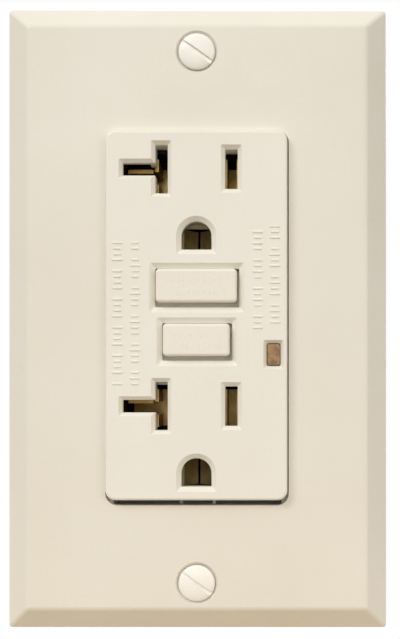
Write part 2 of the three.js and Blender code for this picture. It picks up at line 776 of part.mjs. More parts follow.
function sensorCup() {
  const inner = ring.outer - ring.wall;
  return turned([
    [ring.bore, cupFront], [ring.bore + ring.sleeve, cupFront],
    [ring.bore + ring.sleeve, cupBack - ring.floor],
    [inner, cupBack - ring.floor], [inner, cupFront], [ring.outer, cupFront], [ring.outer, cupBack],
    [ring.bore, cupBack], [ring.bore, cupFront],
  ], 20);
}

function sensorRing() {
  const inner = ring.bore + ring.sleeve + gap;
  const outer = ring.outer - ring.wall - gap;
  const half = ringHeight / 2;
  const edge = 0.6;
  return turned([
    [inner, -half + edge], [inner + edge, -half], [outer - edge, -half], [outer, -half + edge],
    [outer, half - edge], [outer - edge, half], [inner + edge, half], [inner, half - edge],
    [inner, -half + edge],
  ], 20);
}

const ringRoom = cupBack - ring.floor - gap - cupFront;
const ringHeight = (ringRoom - gap) / 2;

const tabInner = terminal.pocketFloor + gap;
const tabOuter = tabInner + terminal.tab;

function terminalTab(span, z) {
  const half = terminal.height / 2 - terminal.tabInset;
  return block(span(tabInner, tabOuter), [terminal.y - terminal.depth / 2, terminal.y + terminal.depth / 2],
    [z - half, z + half]);
}

// The tapped hole of a terminal, on the outside of the pocket's floor
function screwHole(side, z) {
  const ends = [side * terminal.pocketFloor, side * body.width].sort((a, b) => a - b);
  return rod('x', terminalScrew.radius + gap, ends[0], ends[1], [terminal.y, z], 16);
}

function lineConductor(side) {
  const span = (from, to) => (side > 0 ? [from, to] : [-to, -from]);
  const across = [-terminal.z - conductor.width / 2, -terminal.z + conductor.width / 2];
  const postOuter = conductor.near + conductor.post;
  const rootHigh = arm.root + conductor.lap;
  const solid = joined(
    terminalTab(span, -terminal.z),
    block(span(tabInner, tabOuter), [terminal.y, backStripBack], across),
    block(span(conductor.near, tabOuter), [backStripFront, backStripBack], across),
    block(span(conductor.near, postOuter), [stripFront, backStripBack], across),
    block(span(conductor.near, arm.far), [stripFront, stripBack], across),
    block(span(arm.near, arm.far), [stripFront, stripBack], [across[0], rootHigh]),
    block(span(arm.near, arm.far), [stripFront, armFront - gap], [arm.root - conductor.stand, rootHigh]),
  );
  return without(solid, screwHole(side, -terminal.z));
}

const loadStrip = [terminal.z - conductor.loadDrop, terminal.z - conductor.loadDrop + conductor.loadWidth];

function loadTerminal(side) {
  const span = (from, to) => (side > 0 ? [from, to] : [-to, -from]);
  const [inner, outer] = [pad.loadX - conductor.loadHalf, pad.loadX + conductor.loadHalf];
  const solid = joined(
    terminalTab(span, terminal.z),
    block(span(inner, tabOuter), [stripFront, stripBack], loadStrip),
    block(span(inner, outer), [stripFront, stripBack], [pad.z - pad.radius, loadStrip[1]]),
    rod('y', pad.radius, stripBack - lap, fixedPadBack, [side * pad.loadX, pad.z], 16),
  );
  return without(solid, screwHole(side, terminal.z));
}

function movingArm(side) {
  const span = (from, to) => (side > 0 ? [from, to] : [-to, -from]);
  const tip = [pad.z - arm.tipHalf, pad.z + arm.tipHalf];
  return joined(
    block(span(arm.near, arm.far), [armFront, armBack], [arm.root, tip[0] + lap]),
    block(span(arm.tipNear, arm.tipFar), [armFront, armBack], tip),
    rod('y', pad.radius, movingPadFront, armFront + lap, [side * pad.x, pad.z], 16),
    rod('y', pad.radius, movingPadFront, armFront + lap, [side * pad.loadX, pad.z], 16),
  );
}

// Trip solenoid, its axis along Z

const frameLow = coil.frameLow;
const spoolLow = frameLow + coil.frame + gap;
const spoolHigh = spoolLow + coil.length;
const frameHigh = spoolHigh + gap + coil.frame;
const spoolFlange = 0.7;
const spoolRadius = coil.outer + gap;
const collarLow = frameHigh + gap + plunger.spring + gap;

function solenoidBobbin() {
  const core = coil.bore + coil.core;
  return turned([
    [coil.bore, 0], [spoolRadius, 0], [spoolRadius, spoolFlange], [core, spoolFlange],
    [core, coil.length - spoolFlange], [spoolRadius, coil.length - spoolFlange],
    [spoolRadius, coil.length], [coil.bore, coil.length], [coil.bore, 0],
  ]);
}

function solenoidCoil() {
  return hollowRing(
    coil.bore + coil.core + gap, coil.outer, spoolFlange + gap, coil.length - spoolFlange - gap,
  );
}

function solenoidFrame() {
  const half = spoolRadius + gap;
  const side = [half, half + coil.frame];
  const depth = [coil.y - half, coil.y + half];
  const solid = joined(
    block([-half, side[1]], depth, [frameLow, frameLow + coil.frame]),
    block([-half, side[1]], depth, [frameHigh - coil.frame, frameHigh]),
    block(side, depth, [frameLow, frameHigh]),
  );
  return without(solid, rod('z', plunger.radius + gap, frameLow - past, frameHigh + past, [0, coil.y]));
}

// Along Y from the nose's tip, to be turned to point down
function solenoidPlunger() {
  const start = latchTop + gap;
  const shoulder = spoolLow + plunger.inside - start;
  const top = collarLow + plunger.collarHeight - start;
  return turned([
    [0, 0], [plunger.nose, 0], [plunger.nose, shoulder], [plunger.radius, shoulder],
    [plunger.radius, collarLow - start], [plunger.collar, collarLow - start], [plunger.collar, top],
    [0, top],
  ], 20);
}

// Latch, lifter and their travel

const keyZ = resetButton.z + plunger.fire;
const keyRadius = pin.flange + gap;
const latchTop = keyZ + keyRadius + latch.topWall;

function latchSlide() {
  const half = latch.halfWidth;
  const slotHalf = pin.radius + gap;
  const sheet = block([-half, half], [latchFront, latchBack], [latch.low, latchTop]);
  return without(
    sheet,
    rod('y', keyRadius, latchFront - past, latchBack + past, [0, keyZ], 20),
    rod('y', slotHalf, latchFront - past, latchBack + past, [0, resetButton.z], 16),
    block([-slotHalf, slotHalf], [latchFront - past, latchBack + past], [resetButton.z, keyZ]),
  );
}

function contactLifter() {
  const half = pin.flange + gap + lifter.web;
  const z = [resetButton.z - half, resetButton.z + half];
  const frontBack = lifterFront + lifter.front;
  const lip = [latchBack + gap, latchBack + gap + lifter.lipDepth];
  const pieces = [block([-lifter.halfWidth, lifter.halfWidth], [lifterFront, frontBack], z)];
  for (const side of [1, -1]) {
    const span = (from, to) => (side > 0 ? [from, to] : [-to, -from]);
    pieces.push(block(span(latch.halfWidth + gap, lifter.rail), [frontBack - lap, lip[1]], z));
    pieces.push(block(span(lifter.lip, lifter.rail), lip, z));
  }
  return without(joined(...pieces),
    rod('y', pin.flange + gap, lifterFront - past, frontBack + past, [0, resetButton.z], 20));
}

// Terminal screws and clamps, made along +Y from the screw head's seat

const clampInner = tabOuter + gap;
const clampOuter = clampInner + terminal.clamp;
const headSeat = clampOuter + gap;

function terminalScrewSolid() {
  const { radius, headRadius, head, slotHalf, slotDepth } = terminalScrew;
  const length = headSeat - terminal.pocketFloor - gap / 2;
  const solid = turned([
    [0, -head], [headRadius * 0.85, -head], [headRadius, -head * 0.7], [headRadius, 0], [radius, 0],
    [radius, length], [0, length],
  ], 16);
  const slot = [-slotHalf, slotHalf];
  const depth = [-head - past, slotDepth - head];
  return without(
    solid,
    block([-headRadius, headRadius], depth, slot),
    block(slot, depth, [-headRadius * 0.6, headRadius * 0.6]),
  );
}

function terminalClampSolid() {
  const half = terminal.height / 2 - terminal.clampInset;
  return without(
    slab(rectangle(0, 0, 2 * half, 2 * half, 0.6), 0, terminal.clamp),
    rod('y', terminalScrew.radius + gap, -past, terminal.clamp + past, [0, 0], 16),
  );
}

// Back housing

function backHousing() {
  const outer = slab(rectangle(0, 0, body.width, body.height, body.corner), strapFront, body.depth);
  const cuts = [cavity(0, strapFront - past, insideBack)];
  const neckHalf = strap.width / 2 + gap;
  cuts.push(block([-neckHalf, neckHalf], [strapFront - past, gap], [-body.height, body.height]));
  const tabHalf = terminal.depth / 2;
  const pocket = [terminal.y - tabHalf - gap * 2, backStripBack + terminal.pocketPast];
  for (const side of [1, -1]) {
    const span = (from, to) => (side > 0 ? [from, to] : [-to, -from]);
    for (const end of [1, -1]) {
      const z = end * terminal.z;
      const reach = terminal.height / 2;
      cuts.push(block(span(terminal.pocketFloor, body.width), pocket, [z - reach, z + reach]));
      for (const offset of [wireHole.offset, -wireHole.offset]) {
        cuts.push(rod('y', wireHole.radius, pocket[1] - past, body.depth + past,
          [side * wireHole.x, z + offset], 10));
      }
    }
    const inner = terminal.pocketFloor - terminal.wall - past;
    cuts.push(block(span(inner, terminal.pocketFloor + past), [backStripFront - gap, backStripBack + gap],
      [-terminal.z - conductor.width / 2 - gap, -terminal.z + conductor.width / 2 + gap]));
    cuts.push(block(span(inner, terminal.pocketFloor + past), [stripFront - gap, stripBack + gap],
      [loadStrip[0] - gap, loadStrip[1] + gap]));
  }
  for (const [x, z] of cornerPlaces()) {
    cuts.push(rod('y', cornerPost.radius + gap, strapFront - past, cornerPost.depth + gap, [x, z], 12));
    cuts.push(rod('y', assemblyScrew.radius + gap, cornerPost.depth, body.depth + past, [x, z], 10));
    cuts.push(rod('y', assemblyScrew.head + gap, body.depth - assemblyScrew.headHeight - gap,
      body.depth + past, [x, z], 12));
  }
  return without(outer, ...cuts);
}

// Made along -Y from the back of its head
function assemblyScrewSolid() {
  const { radius, head, headHeight, slotHalf, slotDepth, tip } = assemblyScrew;
  const start = flangeBack + past;
  const seat = body.depth - headHeight;
  const solid = turned([
    [0, start], [radius, start + tip], [radius, seat], [head, seat], [head, seat + headHeight * 0.6],
    [head * 0.7, body.depth], [0, body.depth],
  ], 10);
  return without(
    solid, block([-head, head], [body.depth - slotDepth, body.depth + past], [-slotHalf, slotHalf]),
  );
}

// Assembly

const quarter = Math.PI / 2;

add('wall_plate', wallPlate(), ivory);
for (const [name, side] of [['upper', 1], ['lower', -1]]) {
  add(`plate_screw_${name}`, plateScrewSolid(), paintedSteel, {
    position: [0, -plate.depth, side * plate.screwSpacing / 2],
    rotation: [0, THREE.MathUtils.degToRad(plateScrew.angle), 0],
  });
  add(`box_screw_${name}`, boxScrewSolid(), steel, {
    position: [0, strapFront - gap, side * strap.boxSpacing / 2],
  });
  add(`box_screw_washer_${name}`, boxWasherSolid(), card, {
    position: [0, gap, side * strap.boxSpacing / 2],
  });
}
add('mounting_strap', mountingStrap(), steel);
add('ground_screw', groundScrewSolid(), greenSteel, {
  position: [-strap.width / 2 - gap, groundTab.screwY, groundTab.top - groundTab.height / 2],
  rotation: [0, 0, -quarter],
});
for (const [name, line] of Object.entries(bladeLines)) {
  add(`ground_clip_${name}`, groundClipSolid(), brass, { position: [0, 0, line - outlet.groundDrop] });
}

add('face_cover', faceCover(), ivory);
add('light_pipe', lightPipe(), amber);
add('reset_button', resetButtonSolid(), ivoryBright);
add('reset_pin', resetPinSolid(), steel, { position: [0, 0, resetButton.z] });
const coilStart = resetBack + gap + resetCoil.wire / 2;
const resetSpring = spring(
  resetCoil.radius, resetCoil.wire, floorFront - gap - coilStart, resetCoil.turns,
);
add('reset_spring', resetSpring, steel, {
  position: [0, coilStart, resetButton.z],
});
add('test_button', testButtonSolid(), ivoryBright);
add('test_blade', testBladeSolid(), brass);
add('test_resistor', testResistorSolid(), bluePlastic);

add('hot_face_contact', faceContact(1), brass);
add('neutral_face_contact', faceContact(-1), brass);
add('separator', separatorSolid(), greyPlastic);
add('circuit_board', circuitBoard(), boardGreen);
add('indicator_led', indicatorLed(), amber, { position: [lamp.x, 0, lamp.z] });
add('control_chip', controlChip(), darkPlastic);
add('varistor', varistorSolid(), bluePlastic);
add('capacitor', capacitorSolid(), clayBrown);
add('thyristor', thyristorSolid(), darkPlastic);

add('sensor_housing', sensorCup(), darkPlastic, { position: [0, 0, ring.z] });
add('fault_sensor_ring', sensorRing(), copper, { position: [0, cupFront + ringHeight / 2, ring.z] });
add('neutral_sensor_ring', sensorRing(), copper, {
  position: [0, cupFront + ringHeight * 1.5 + gap, ring.z],
});
for (const [name, side] of [['hot', 1], ['neutral', -1]]) {
  add(`line_${name}_conductor`, lineConductor(side), brass);
  add(`load_${name}_terminal`, loadTerminal(side), brass);
  add(`${name}_moving_arm`, movingArm(side), brass);
}

const upright = { position: [0, coil.y, spoolLow], rotation: [quarter, 0, 0] };
add('solenoid_bobbin', solenoidBobbin(), darkPlastic, upright);
add('solenoid_coil', solenoidCoil(), copper, upright);
add('solenoid_frame', solenoidFrame(), steel);
add('solenoid_plunger', solenoidPlunger(), steel, {
  position: [0, coil.y, latchTop + gap], rotation: [quarter, 0, 0],
});
const plungerCoil = spring(
  plunger.springRadius, plunger.wire, plunger.spring - plunger.wire, plunger.springTurns,
);
add('plunger_spring', plungerCoil, steel, {
  position: [0, coil.y, frameHigh + gap + plunger.wire / 2], rotation: [quarter, 0, 0],
});
add('latch_slide', latchSlide(), steel);
add('contact_lifter', contactLifter(), darkPlastic);

for (const [name, side, end] of [
  ['line_hot', 1, -1], ['line_neutral', -1, -1], ['load_hot', 1, 1], ['load_neutral', -1, 1],
]) {
  const look = side > 0 ? brass : silvered;
  const rotation = [0, 0, side * quarter];
  add(`${name}_screw`, terminalScrewSolid(), look, {
    position: [side * headSeat, terminal.y, end * terminal.z], rotation,
  });
  add(`${name}_clamp`, terminalClampSolid(), look, {
    position: [side * clampOuter, terminal.y, end * terminal.z], rotation,
  });
}

add('back_housing', backHousing(), greyPlastic);
cornerPlaces().forEach(([x, z], place) => {
  add(`assembly_screw_${place + 1}`, assemblyScrewSolid(), steel, { position: [x, 0, z] });
});

export default device;
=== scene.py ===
# A ground-fault duplex outlet behind its ivory wall plate
import math
import bmesh
import bpy
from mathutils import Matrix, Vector

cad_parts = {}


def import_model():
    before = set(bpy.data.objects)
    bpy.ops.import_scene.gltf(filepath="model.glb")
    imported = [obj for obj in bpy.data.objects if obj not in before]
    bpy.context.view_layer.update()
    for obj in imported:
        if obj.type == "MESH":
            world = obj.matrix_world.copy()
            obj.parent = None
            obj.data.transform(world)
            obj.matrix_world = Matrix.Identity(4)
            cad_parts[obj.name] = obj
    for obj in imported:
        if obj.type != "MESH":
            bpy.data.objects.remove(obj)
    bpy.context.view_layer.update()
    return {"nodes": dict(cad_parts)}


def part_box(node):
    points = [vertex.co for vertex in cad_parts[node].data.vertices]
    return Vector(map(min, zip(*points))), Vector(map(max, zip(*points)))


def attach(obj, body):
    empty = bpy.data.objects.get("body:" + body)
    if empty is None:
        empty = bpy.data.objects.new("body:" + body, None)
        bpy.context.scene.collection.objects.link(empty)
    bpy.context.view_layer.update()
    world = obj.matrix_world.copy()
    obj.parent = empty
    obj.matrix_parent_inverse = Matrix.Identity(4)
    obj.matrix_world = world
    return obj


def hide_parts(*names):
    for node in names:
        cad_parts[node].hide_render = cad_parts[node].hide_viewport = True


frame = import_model()
mm = 0.001
touching = 1e-7  # places closer than this, in metres, count as one
past = 1  # how far a cutter runs past the skin it opens, in mm


# Small tools shared by all pieces

def only(piece):
    bpy.ops.object.select_all(action="DESELECT")
    piece.select_set(True)
    bpy.context.view_layer.objects.active = piece


def work(piece, kind, test, operator, **settings):
    # picks faces, edges or vertices by a test, then runs one edit-mode operator on them
    only(piece)
    bpy.ops.object.mode_set(mode="EDIT")
    bpy.ops.mesh.select_mode(type=kind)
    bpy.ops.mesh.select_all(action="DESELECT")
    mesh = bmesh.from_edit_mesh(piece.data)
    items = {"VERT": mesh.verts, "EDGE": mesh.edges, "FACE": mesh.faces}[kind]
    for item in items:
        if test(item):
            item.select_set(True)
    mesh.select_flush_mode()
    bmesh.update_edit_mesh(piece.data)
    operator(**settings)
    bpy.ops.object.mode_set(mode="OBJECT")


def settle(piece):
    only(piece)
    bpy.ops.object.transform_apply(location=True, rotation=True, scale=True)
    return piece


def block(name, low, high):
    bpy.ops.object.select_all(action="DESELECT")
    middle = [(a + b) / 2 * mm for a, b in zip(low, high)]
    bpy.ops.mesh.primitive_cube_add(size=1, location=middle)
    piece = bpy.context.object
    piece.name = name
    piece.scale = [abs(b - a) * mm for a, b in zip(low, high)]
    return settle(piece)


def alongY(edge):
    a, b = edge.verts[0].co, edge.verts[1].co
    return abs(a.x - b.x) < touching and abs(a.z - b.z) < touching


def frontMost(piece):
    front = min(v.co.y for v in piece.data.vertices)
    return lambda item: all(v.co.y < front + touching for v in item.verts)


def backMost(piece):
    back = max(v.co.y for v in piece.data.vertices)
    return lambda item: all(v.co.y > back - touching for v in item.verts)


def roundedBlock(name, low, high, corner, segments=5):
    piece = block(name, low, high)
    work(piece, "EDGE", alongY, bpy.ops.mesh.bevel, offset=corner * mm, segments=segments, affect="EDGES")
    return piece


def roundFront(piece, radius, segments=3):
    work(piece, "EDGE", frontMost(piece), bpy.ops.mesh.bevel, offset=radius * mm, segments=segments,
         affect="EDGES")
    return piece


def extrudeFront(piece, forward, spread=(0, 0)):
    # carries the front face forward and widens it on each side
    front = frontMost(piece)
    work(piece, "FACE", front, bpy.ops.mesh.extrude_region_move,
         TRANSFORM_OT_translate={"value": (0, -forward * mm, 0)})
    if spread == (0, 0):
        return piece
    front = frontMost(piece)
    places = [v.co for v in piece.data.vertices]
    nearest = min(p.y for p in places)
    face = [p for p in places if p.y < nearest + touching]
    low = [min(p[i] for p in face) for i in (0, 2)]
    high = [max(p[i] for p in face) for i in (0, 2)]
    ratio = [1 + 2 * s * mm / (b - a) for s, a, b in zip(spread, low, high)]
    centre = ((low[0] + high[0]) / 2, nearest, (low[1] + high[1]) / 2)
    work(piece, "FACE", front, bpy.ops.transform.resize, value=(ratio[0], 1, ratio[1]),
         center_override=centre)
    return piece


def turned(name, stations, centre=(0, 0), sides=48):
    # a round piece along Y, made by extruding and scaling a disc from station to station
    bpy.ops.object.select_all(action="DESELECT")
    start, radius = stations[0]
    place = Vector((centre[0], start, centre[1])) * mm
    bpy.ops.mesh.primitive_circle_add(vertices=sides, radius=radius * mm, fill_type="NGON", location=place,
                                      rotation=(math.pi / 2, 0, 0))
    piece = bpy.context.object
    piece.name = name
    settle(piece)
    only(piece)
    bpy.ops.object.mode_set(mode="EDIT")
    bpy.ops.mesh.select_mode(type="FACE")
    bpy.ops.mesh.select_all(action="SELECT")
    for height, size in stations[1:]:
        bpy.ops.mesh.extrude_region_move(TRANSFORM_OT_translate={"value": (0, (height - start) * mm, 0)})
        if abs(size - radius) > touching:
            ratio = size / radius
            bpy.ops.transform.resize(value=(ratio, 1, ratio),
                                     center_override=(centre[0] * mm, height * mm, centre[1] * mm))
        start, radius = height, size
    bpy.ops.mesh.select_all(action="SELECT")
    bpy.ops.mesh.normals_make_consistent(inside=False)
    bpy.ops.object.mode_set(mode="OBJECT")
    return piece


def turnTo(piece, angles, place=(0, 0, 0)):
    # turns a finished piece about the origin, then moves it to its place
    piece.rotation_euler = angles
    piece.location = Vector(place) * mm
    return settle(piece)


def modify(piece, kind, **settings):
    only(piece)
    modifier = piece.modifiers.new(kind.lower(), kind)
    for key, value in settings.items():
        setattr(modifier, key, value)
    bpy.ops.object.modifier_apply(modifier=modifier.name)
    piece.data.validate()  # drops doubled faces
    return piece


def cut(piece, *tools):
    for tool in tools:
        modify(piece, "BOOLEAN", operation="DIFFERENCE", solver="EXACT", object=tool)
        bpy.data.objects.remove(tool)
    return piece


def weld(piece, *parts):
    for part in parts:
        modify(piece, "BOOLEAN", operation="UNION", solver="EXACT", object=part)
        bpy.data.objects.remove(part)
    return piece


def soften(piece, width, segments=2, angle=50):
    return modify(piece, "BEVEL", width=width * mm, segments=segments, limit_method="ANGLE",
                  angle_limit=math.radians(angle), use_clamp_overlap=True, miter_outer="MITER_ARC")


def gather(name, parts):
    # many small separate solids as one object
    bpy.ops.object.select_all(action="DESELECT")
    for part in parts:
        part.select_set(True)
    bpy.context.view_layer.objects.active = parts[0]
    bpy.ops.object.join()
    parts[0].name = name
    return parts[0]


def span(node):
    # a CAD node's low and high corners in millimetres
    low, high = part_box(node)
    return [v / mm for v in low], [v / mm for v in high]


smoothAngle = 30  # edges sharper than this stay crisp, in degrees


def hand(piece, body, node, material):
    # shading, finish, body and the CAD node the piece stands for
    only(piece)
    bpy.ops.object.shade_smooth_by_angle(angle=math.radians(smoothAngle))
    modify(piece, "WEIGHTED_NORMAL", weight=100, keep_sharp=True)
    piece.data.materials.clear()
    piece.data.materials.append(material)
    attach(piece, body)
    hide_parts(node)
    return piece


# Material tools

def colour(code):
    values = [int(code[i:i + 2], 16) / 255 for i in (1, 3, 5)]
    linear = [v / 12.92 if v <= 0.04045 else ((v + 0.055) / 1.055) ** 2.4 for v in values]
    return (*linear, 1)


def perMm(size):
    return 1 / (size * mm)  # pattern scale whose features are about this many millimetres


def addNode(tree, kind, links=None, **settings):
    node = tree.nodes.new(kind)
    for key, value in settings.items():
        if key in node.inputs:
            node.inputs[key].default_value = value
        else:
            setattr(node, key, value)
    for socket, source in (links or {}).items():
        tree.links.new(source, node.inputs[socket])
    return node


def startMaterial(name, roughness, metallic=0.0, ior=1.5):
    material = bpy.data.materials.new(name)
    material.use_nodes = True
    tree = material.node_tree
    shader = tree.nodes["Principled BSDF"]
    shader.inputs["Roughness"].default_value = roughness
    shader.inputs["Metallic"].default_value = metallic
    shader.inputs["IOR"].default_value = ior
    place = addNode(tree, "ShaderNodeTexCoord").outputs["Object"]
    return material, tree, shader, place


def blendColours(tree, factor, first, second, low=0.35, high=0.65):
    ramp = addNode(tree, "ShaderNodeValToRGB", links={"Fac": factor})
    ramp.color_ramp.elements[0].color = colour(first)
    ramp.color_ramp.elements[1].color = colour(second)
    ramp.color_ramp.elements[0].position = low
    ramp.color_ramp.elements[1].position = high
    return ramp.outputs["Color"]


def roughen(tree, shader, factor, low, high):
    spread = addNode(tree, "ShaderNodeMapRange", links={"Value": factor})
    spread.inputs["To Min"].default_value = low
    spread.inputs["To Max"].default_value = high
    tree.links.new(spread.outputs["Result"], shader.inputs["Roughness"])


def bump(tree, shader, height, depth, strength=1.0):
    node = addNode(tree, "ShaderNodeBump", links={"Height": height}, Strength=strength, Distance=depth * mm)
    tree.links.new(node.outputs["Normal"], shader.inputs["Normal"])


plasticLook = {"drift": 26, "speck": 0.7, "speckShare": 0.25, "scuff": 6, "glossier": 0.05, "duller": 0.07}


def mouldedPlastic(name, light, dark, rough, peel=0.9, depth=0.006):
    # injection-moulded plastic: a slow drift of tone, a fine orange peel and faint scuffs in the gloss
    s = plasticLook
    material, tree, shader, place = startMaterial(name, rough)
    drift = addNode(tree, "ShaderNodeTexNoise", links={"Vector": place}, Scale=perMm(s["drift"]), Detail=3.0)
    speck = addNode(tree, "ShaderNodeTexNoise", links={"Vector": place}, Scale=perMm(s["speck"]), Detail=2.0)
    both = addNode(tree, "ShaderNodeMix", links={"A": drift.outputs["Fac"], "B": speck.outputs["Fac"]},
                   Factor=s["speckShare"])
    tree.links.new(blendColours(tree, both.outputs["Result"], dark, light), shader.inputs["Base Color"])
    skin = addNode(tree, "ShaderNodeTexNoise", links={"Vector": place}, Scale=perMm(peel), Detail=2.0)
    scuff = addNode(tree, "ShaderNodeTexNoise", links={"Vector": place}, Scale=perMm(s["scuff"]), Detail=6.0)
    roughen(tree, shader, scuff.outputs["Fac"], rough - s["glossier"], rough + s["duller"])
    bump(tree, shader, skin.outputs["Fac"], depth)
    return material


metalLook = {"tarnish": 5, "glossier": 0.08, "duller": 0.12, "depth": 0.004}


def platedMetal(name, light, dark, rough, grain=0.35, metallic=1.0):
    # plated or drawn metal: a fine grain in its gloss, and tarnish in slow patches
    s = metalLook
    material, tree, shader, place = startMaterial(name, rough, metallic)
    fine = addNode(tree, "ShaderNodeTexNoise", links={"Vector": place}, Scale=perMm(grain), Detail=3.0)
    tarnish = addNode(tree, "ShaderNodeTexNoise", links={"Vector": place}, Scale=perMm(s["tarnish"]),
                      Detail=5.0)
    tree.links.new(blendColours(tree, tarnish.outputs["Fac"], dark, light), shader.inputs["Base Color"])
    roughen(tree, shader, fine.outputs["Fac"], rough - s["glossier"], rough + s["duller"])
    bump(tree, shader, fine.outputs["Fac"], s["depth"])
    return material


finishes = {
    # moulded urea: hard, even, a soft wide highlight
    "plateIvory": mouldedPlastic("urea_plate_ivory", "#ECE7DA", "#E8E2D3", 0.34),
    # moulded nylon: satin, with a finer skin
    "coverIvory": mouldedPlastic("nylon_cover_ivory", "#F2EEE3", "#EEE9DC", 0.40, peel=0.6),
    "buttonIvory": mouldedPlastic("nylon_button_ivory", "#F2ECE0", "#EEE7D9", 0.38, peel=0.5),
    # enamel baked on steel: glossier, with a slight sag in the coat; made paler than the plate so that the
    # heads, shaded in their seats, still render bright: painted light
    "screwEnamel": mouldedPlastic("baked_enamel_ivory", "#FDFAF3", "#F8F4EA", 0.30, peel=0.8, depth=0.01),
    # moulded polycarbonate: dull, with a sparked texture
    "housingGrey": mouldedPlastic("polycarbonate_grey", "#7A7C7E", "#6E7072", 0.52, peel=0.35, depth=0.012),
    "separatorGrey": mouldedPlastic("polycarbonate_charcoal", "#2A251F", "#211C17", 0.6),
    "blackNylon": mouldedPlastic("nylon_black", "#26272A", "#1B1C1E", 0.5),
    # lacquer over copper and glass fibre: glossy, slightly wavy
    "boardGreen": mouldedPlastic("solder_mask_green", "#1F5A34", "#174828", 0.35, peel=1.2),
    # dipped epoxy: rounded, wet-looking, uneven
    "blueEpoxy": mouldedPlastic("epoxy_dip_blue", "#27568C", "#1E4675", 0.25, peel=2.5, depth=0.02),
    "brownEpoxy": mouldedPlastic("epoxy_dip_brown", "#8A4E22", "#70401D", 0.28, peel=2.5, depth=0.02),
    # pressed fibre: matt and slightly hairy
    "fibreCard": mouldedPlastic("vulcanised_fibre", "#B79A72", "#A08460", 0.85, peel=0.25, depth=0.03),
    # hot-dipped zinc: cool grey, cloudy gloss
    "galvanised": platedMetal("galvanised_steel", "#C4C7C6", "#A9ADAD", 0.42, grain=0.6),
    # electroplated zinc: brighter and closer-grained
    "zincPlate": platedMetal("zinc_plated_steel", "#C9C8C2", "#B0AFA9", 0.34),
    # rolled brass: yellow, with tarnish in patches
    "brass": platedMetal("cartridge_brass", "#D9B878", "#AE8A4C", 0.42, metallic=0.8),
    # brass made a paler olive tan and less metallic than the terminals' brass, so that the ground clips deep
    # in their holes render lit: painted light
    "paledClipBrass": platedMetal("brass_paled_for_holes", "#E4D09C", "#BFA66E", 0.5, metallic=0.4),
    "nickel": platedMetal("nickel_plated_brass", "#D0CCC2", "#B8B3A7", 0.32),
    # copper under clear enamel: warm and glossy
    "copper": platedMetal("enamelled_copper_wire", "#B0602F", "#8A4620", 0.35),
    # zinc under a green dye: metal that shows through colour
    "greenZinc": platedMetal("green_dyed_zinc", "#2F7A48", "#235F37", 0.38),
}


lensLook = {"rough": 0.18, "ior": 1.58, "cloud": 1.6, "dark": "#9C6F38", "light": "#D6A766", "clear": 0.45,
            "coat": 0.3}


def amberLens():
    # tinted polycarbonate light pipe: see-through amber with a soft core
    s = lensLook
    material, tree, shader, place = startMaterial("polycarbonate_amber", s["rough"], ior=s["ior"])
    cloud = addNode(tree, "ShaderNodeTexNoise", links={"Vector": place}, Scale=perMm(s["cloud"]), Detail=2.0)
    tint = blendColours(tree, cloud.outputs["Fac"], s["dark"], s["light"])
    tree.links.new(tint, shader.inputs["Base Color"])
    shader.inputs["Transmission Weight"].default_value = s["clear"]
    shader.inputs["Coat Weight"].default_value = s["coat"]
    return material


finishes["amberLens"] = amberLens()
print("materials ready:", len(finishes))

# Wall plate

plateShape = {
    "rim": 1.8, "bevel": 4.0, "edgeRound": 0.55, "side": 3.2, "hollow": 3.4, "hollowCorner": 1.2,
    "windowCorner": 2.1, "windowLeft": 0.12, "windowRight": 0.25, "windowTop": 0.8, "windowDrop": 1.0,
    "seatRadius": 3.63, "seatLip": 0.25, "seatLipDepth": 0.22, "seatDepth": 1.9, "holeRadius": 1.9,
    "bossRadius": 2.97, "bossEnd": -1.6, "bossSink": 0.5, "soft": 0.18,
}


def wallPlate():
    s = plateShape
    low, high = span("wall_plate")
    screws = [sum(span(f"plate_screw_{n}")[i][2] for i in (0, 1)) / 2 for n in ("upper", "lower")]
    piece = block("wallPlate", (low[0], -s["rim"], low[2]), (high[0], 0, high[2]))
    extrudeFront(piece, -low[1] - s["rim"], (-s["bevel"], -s["bevel"]))
    back = backMost(piece)
    work(piece, "EDGE", lambda edge: not back(edge), bpy.ops.mesh.bevel, offset=s["edgeRound"] * mm,
         segments=4, affect="EDGES")
    cut(piece, roundedBlock("hollow", (low[0] + s["side"], -s["hollow"], low[2] + s["side"]),
                            (high[0] - s["side"], past, high[2] - s["side"]), s["hollowCorner"]))
    seat = [
        (low[1] - past, s["seatRadius"] + s["seatLip"]), (low[1] - 0.02, s["seatRadius"] + s["seatLip"]),
        (low[1] + s["seatLipDepth"], s["seatRadius"]), (low[1] + s["seatDepth"], s["holeRadius"]),
        (past, s["holeRadius"]),
    ]
    boss = [(-s["hollow"] - s["bossSink"], s["bossRadius"]), (s["bossEnd"], s["bossRadius"])]
    for z in screws:
        weld(piece, turned("boss", boss, (0, z)))
        cut(piece, turned("seat", seat, (0, z), 64))
    halfWidth, halfHeight = deviceHalf()
    cut(piece, roundedBlock(
        "window", (-halfWidth - s["windowLeft"], low[1] - past, -halfHeight - s["windowDrop"]),
        (halfWidth + s["windowRight"], past, halfHeight + s["windowTop"]), s["windowCorner"], 6))
    soften(piece, s["soft"], 2, 60)
    return hand(piece, "device", "wall_plate", finishes["plateIvory"])


# Front cover: its raised middle shows through the plate

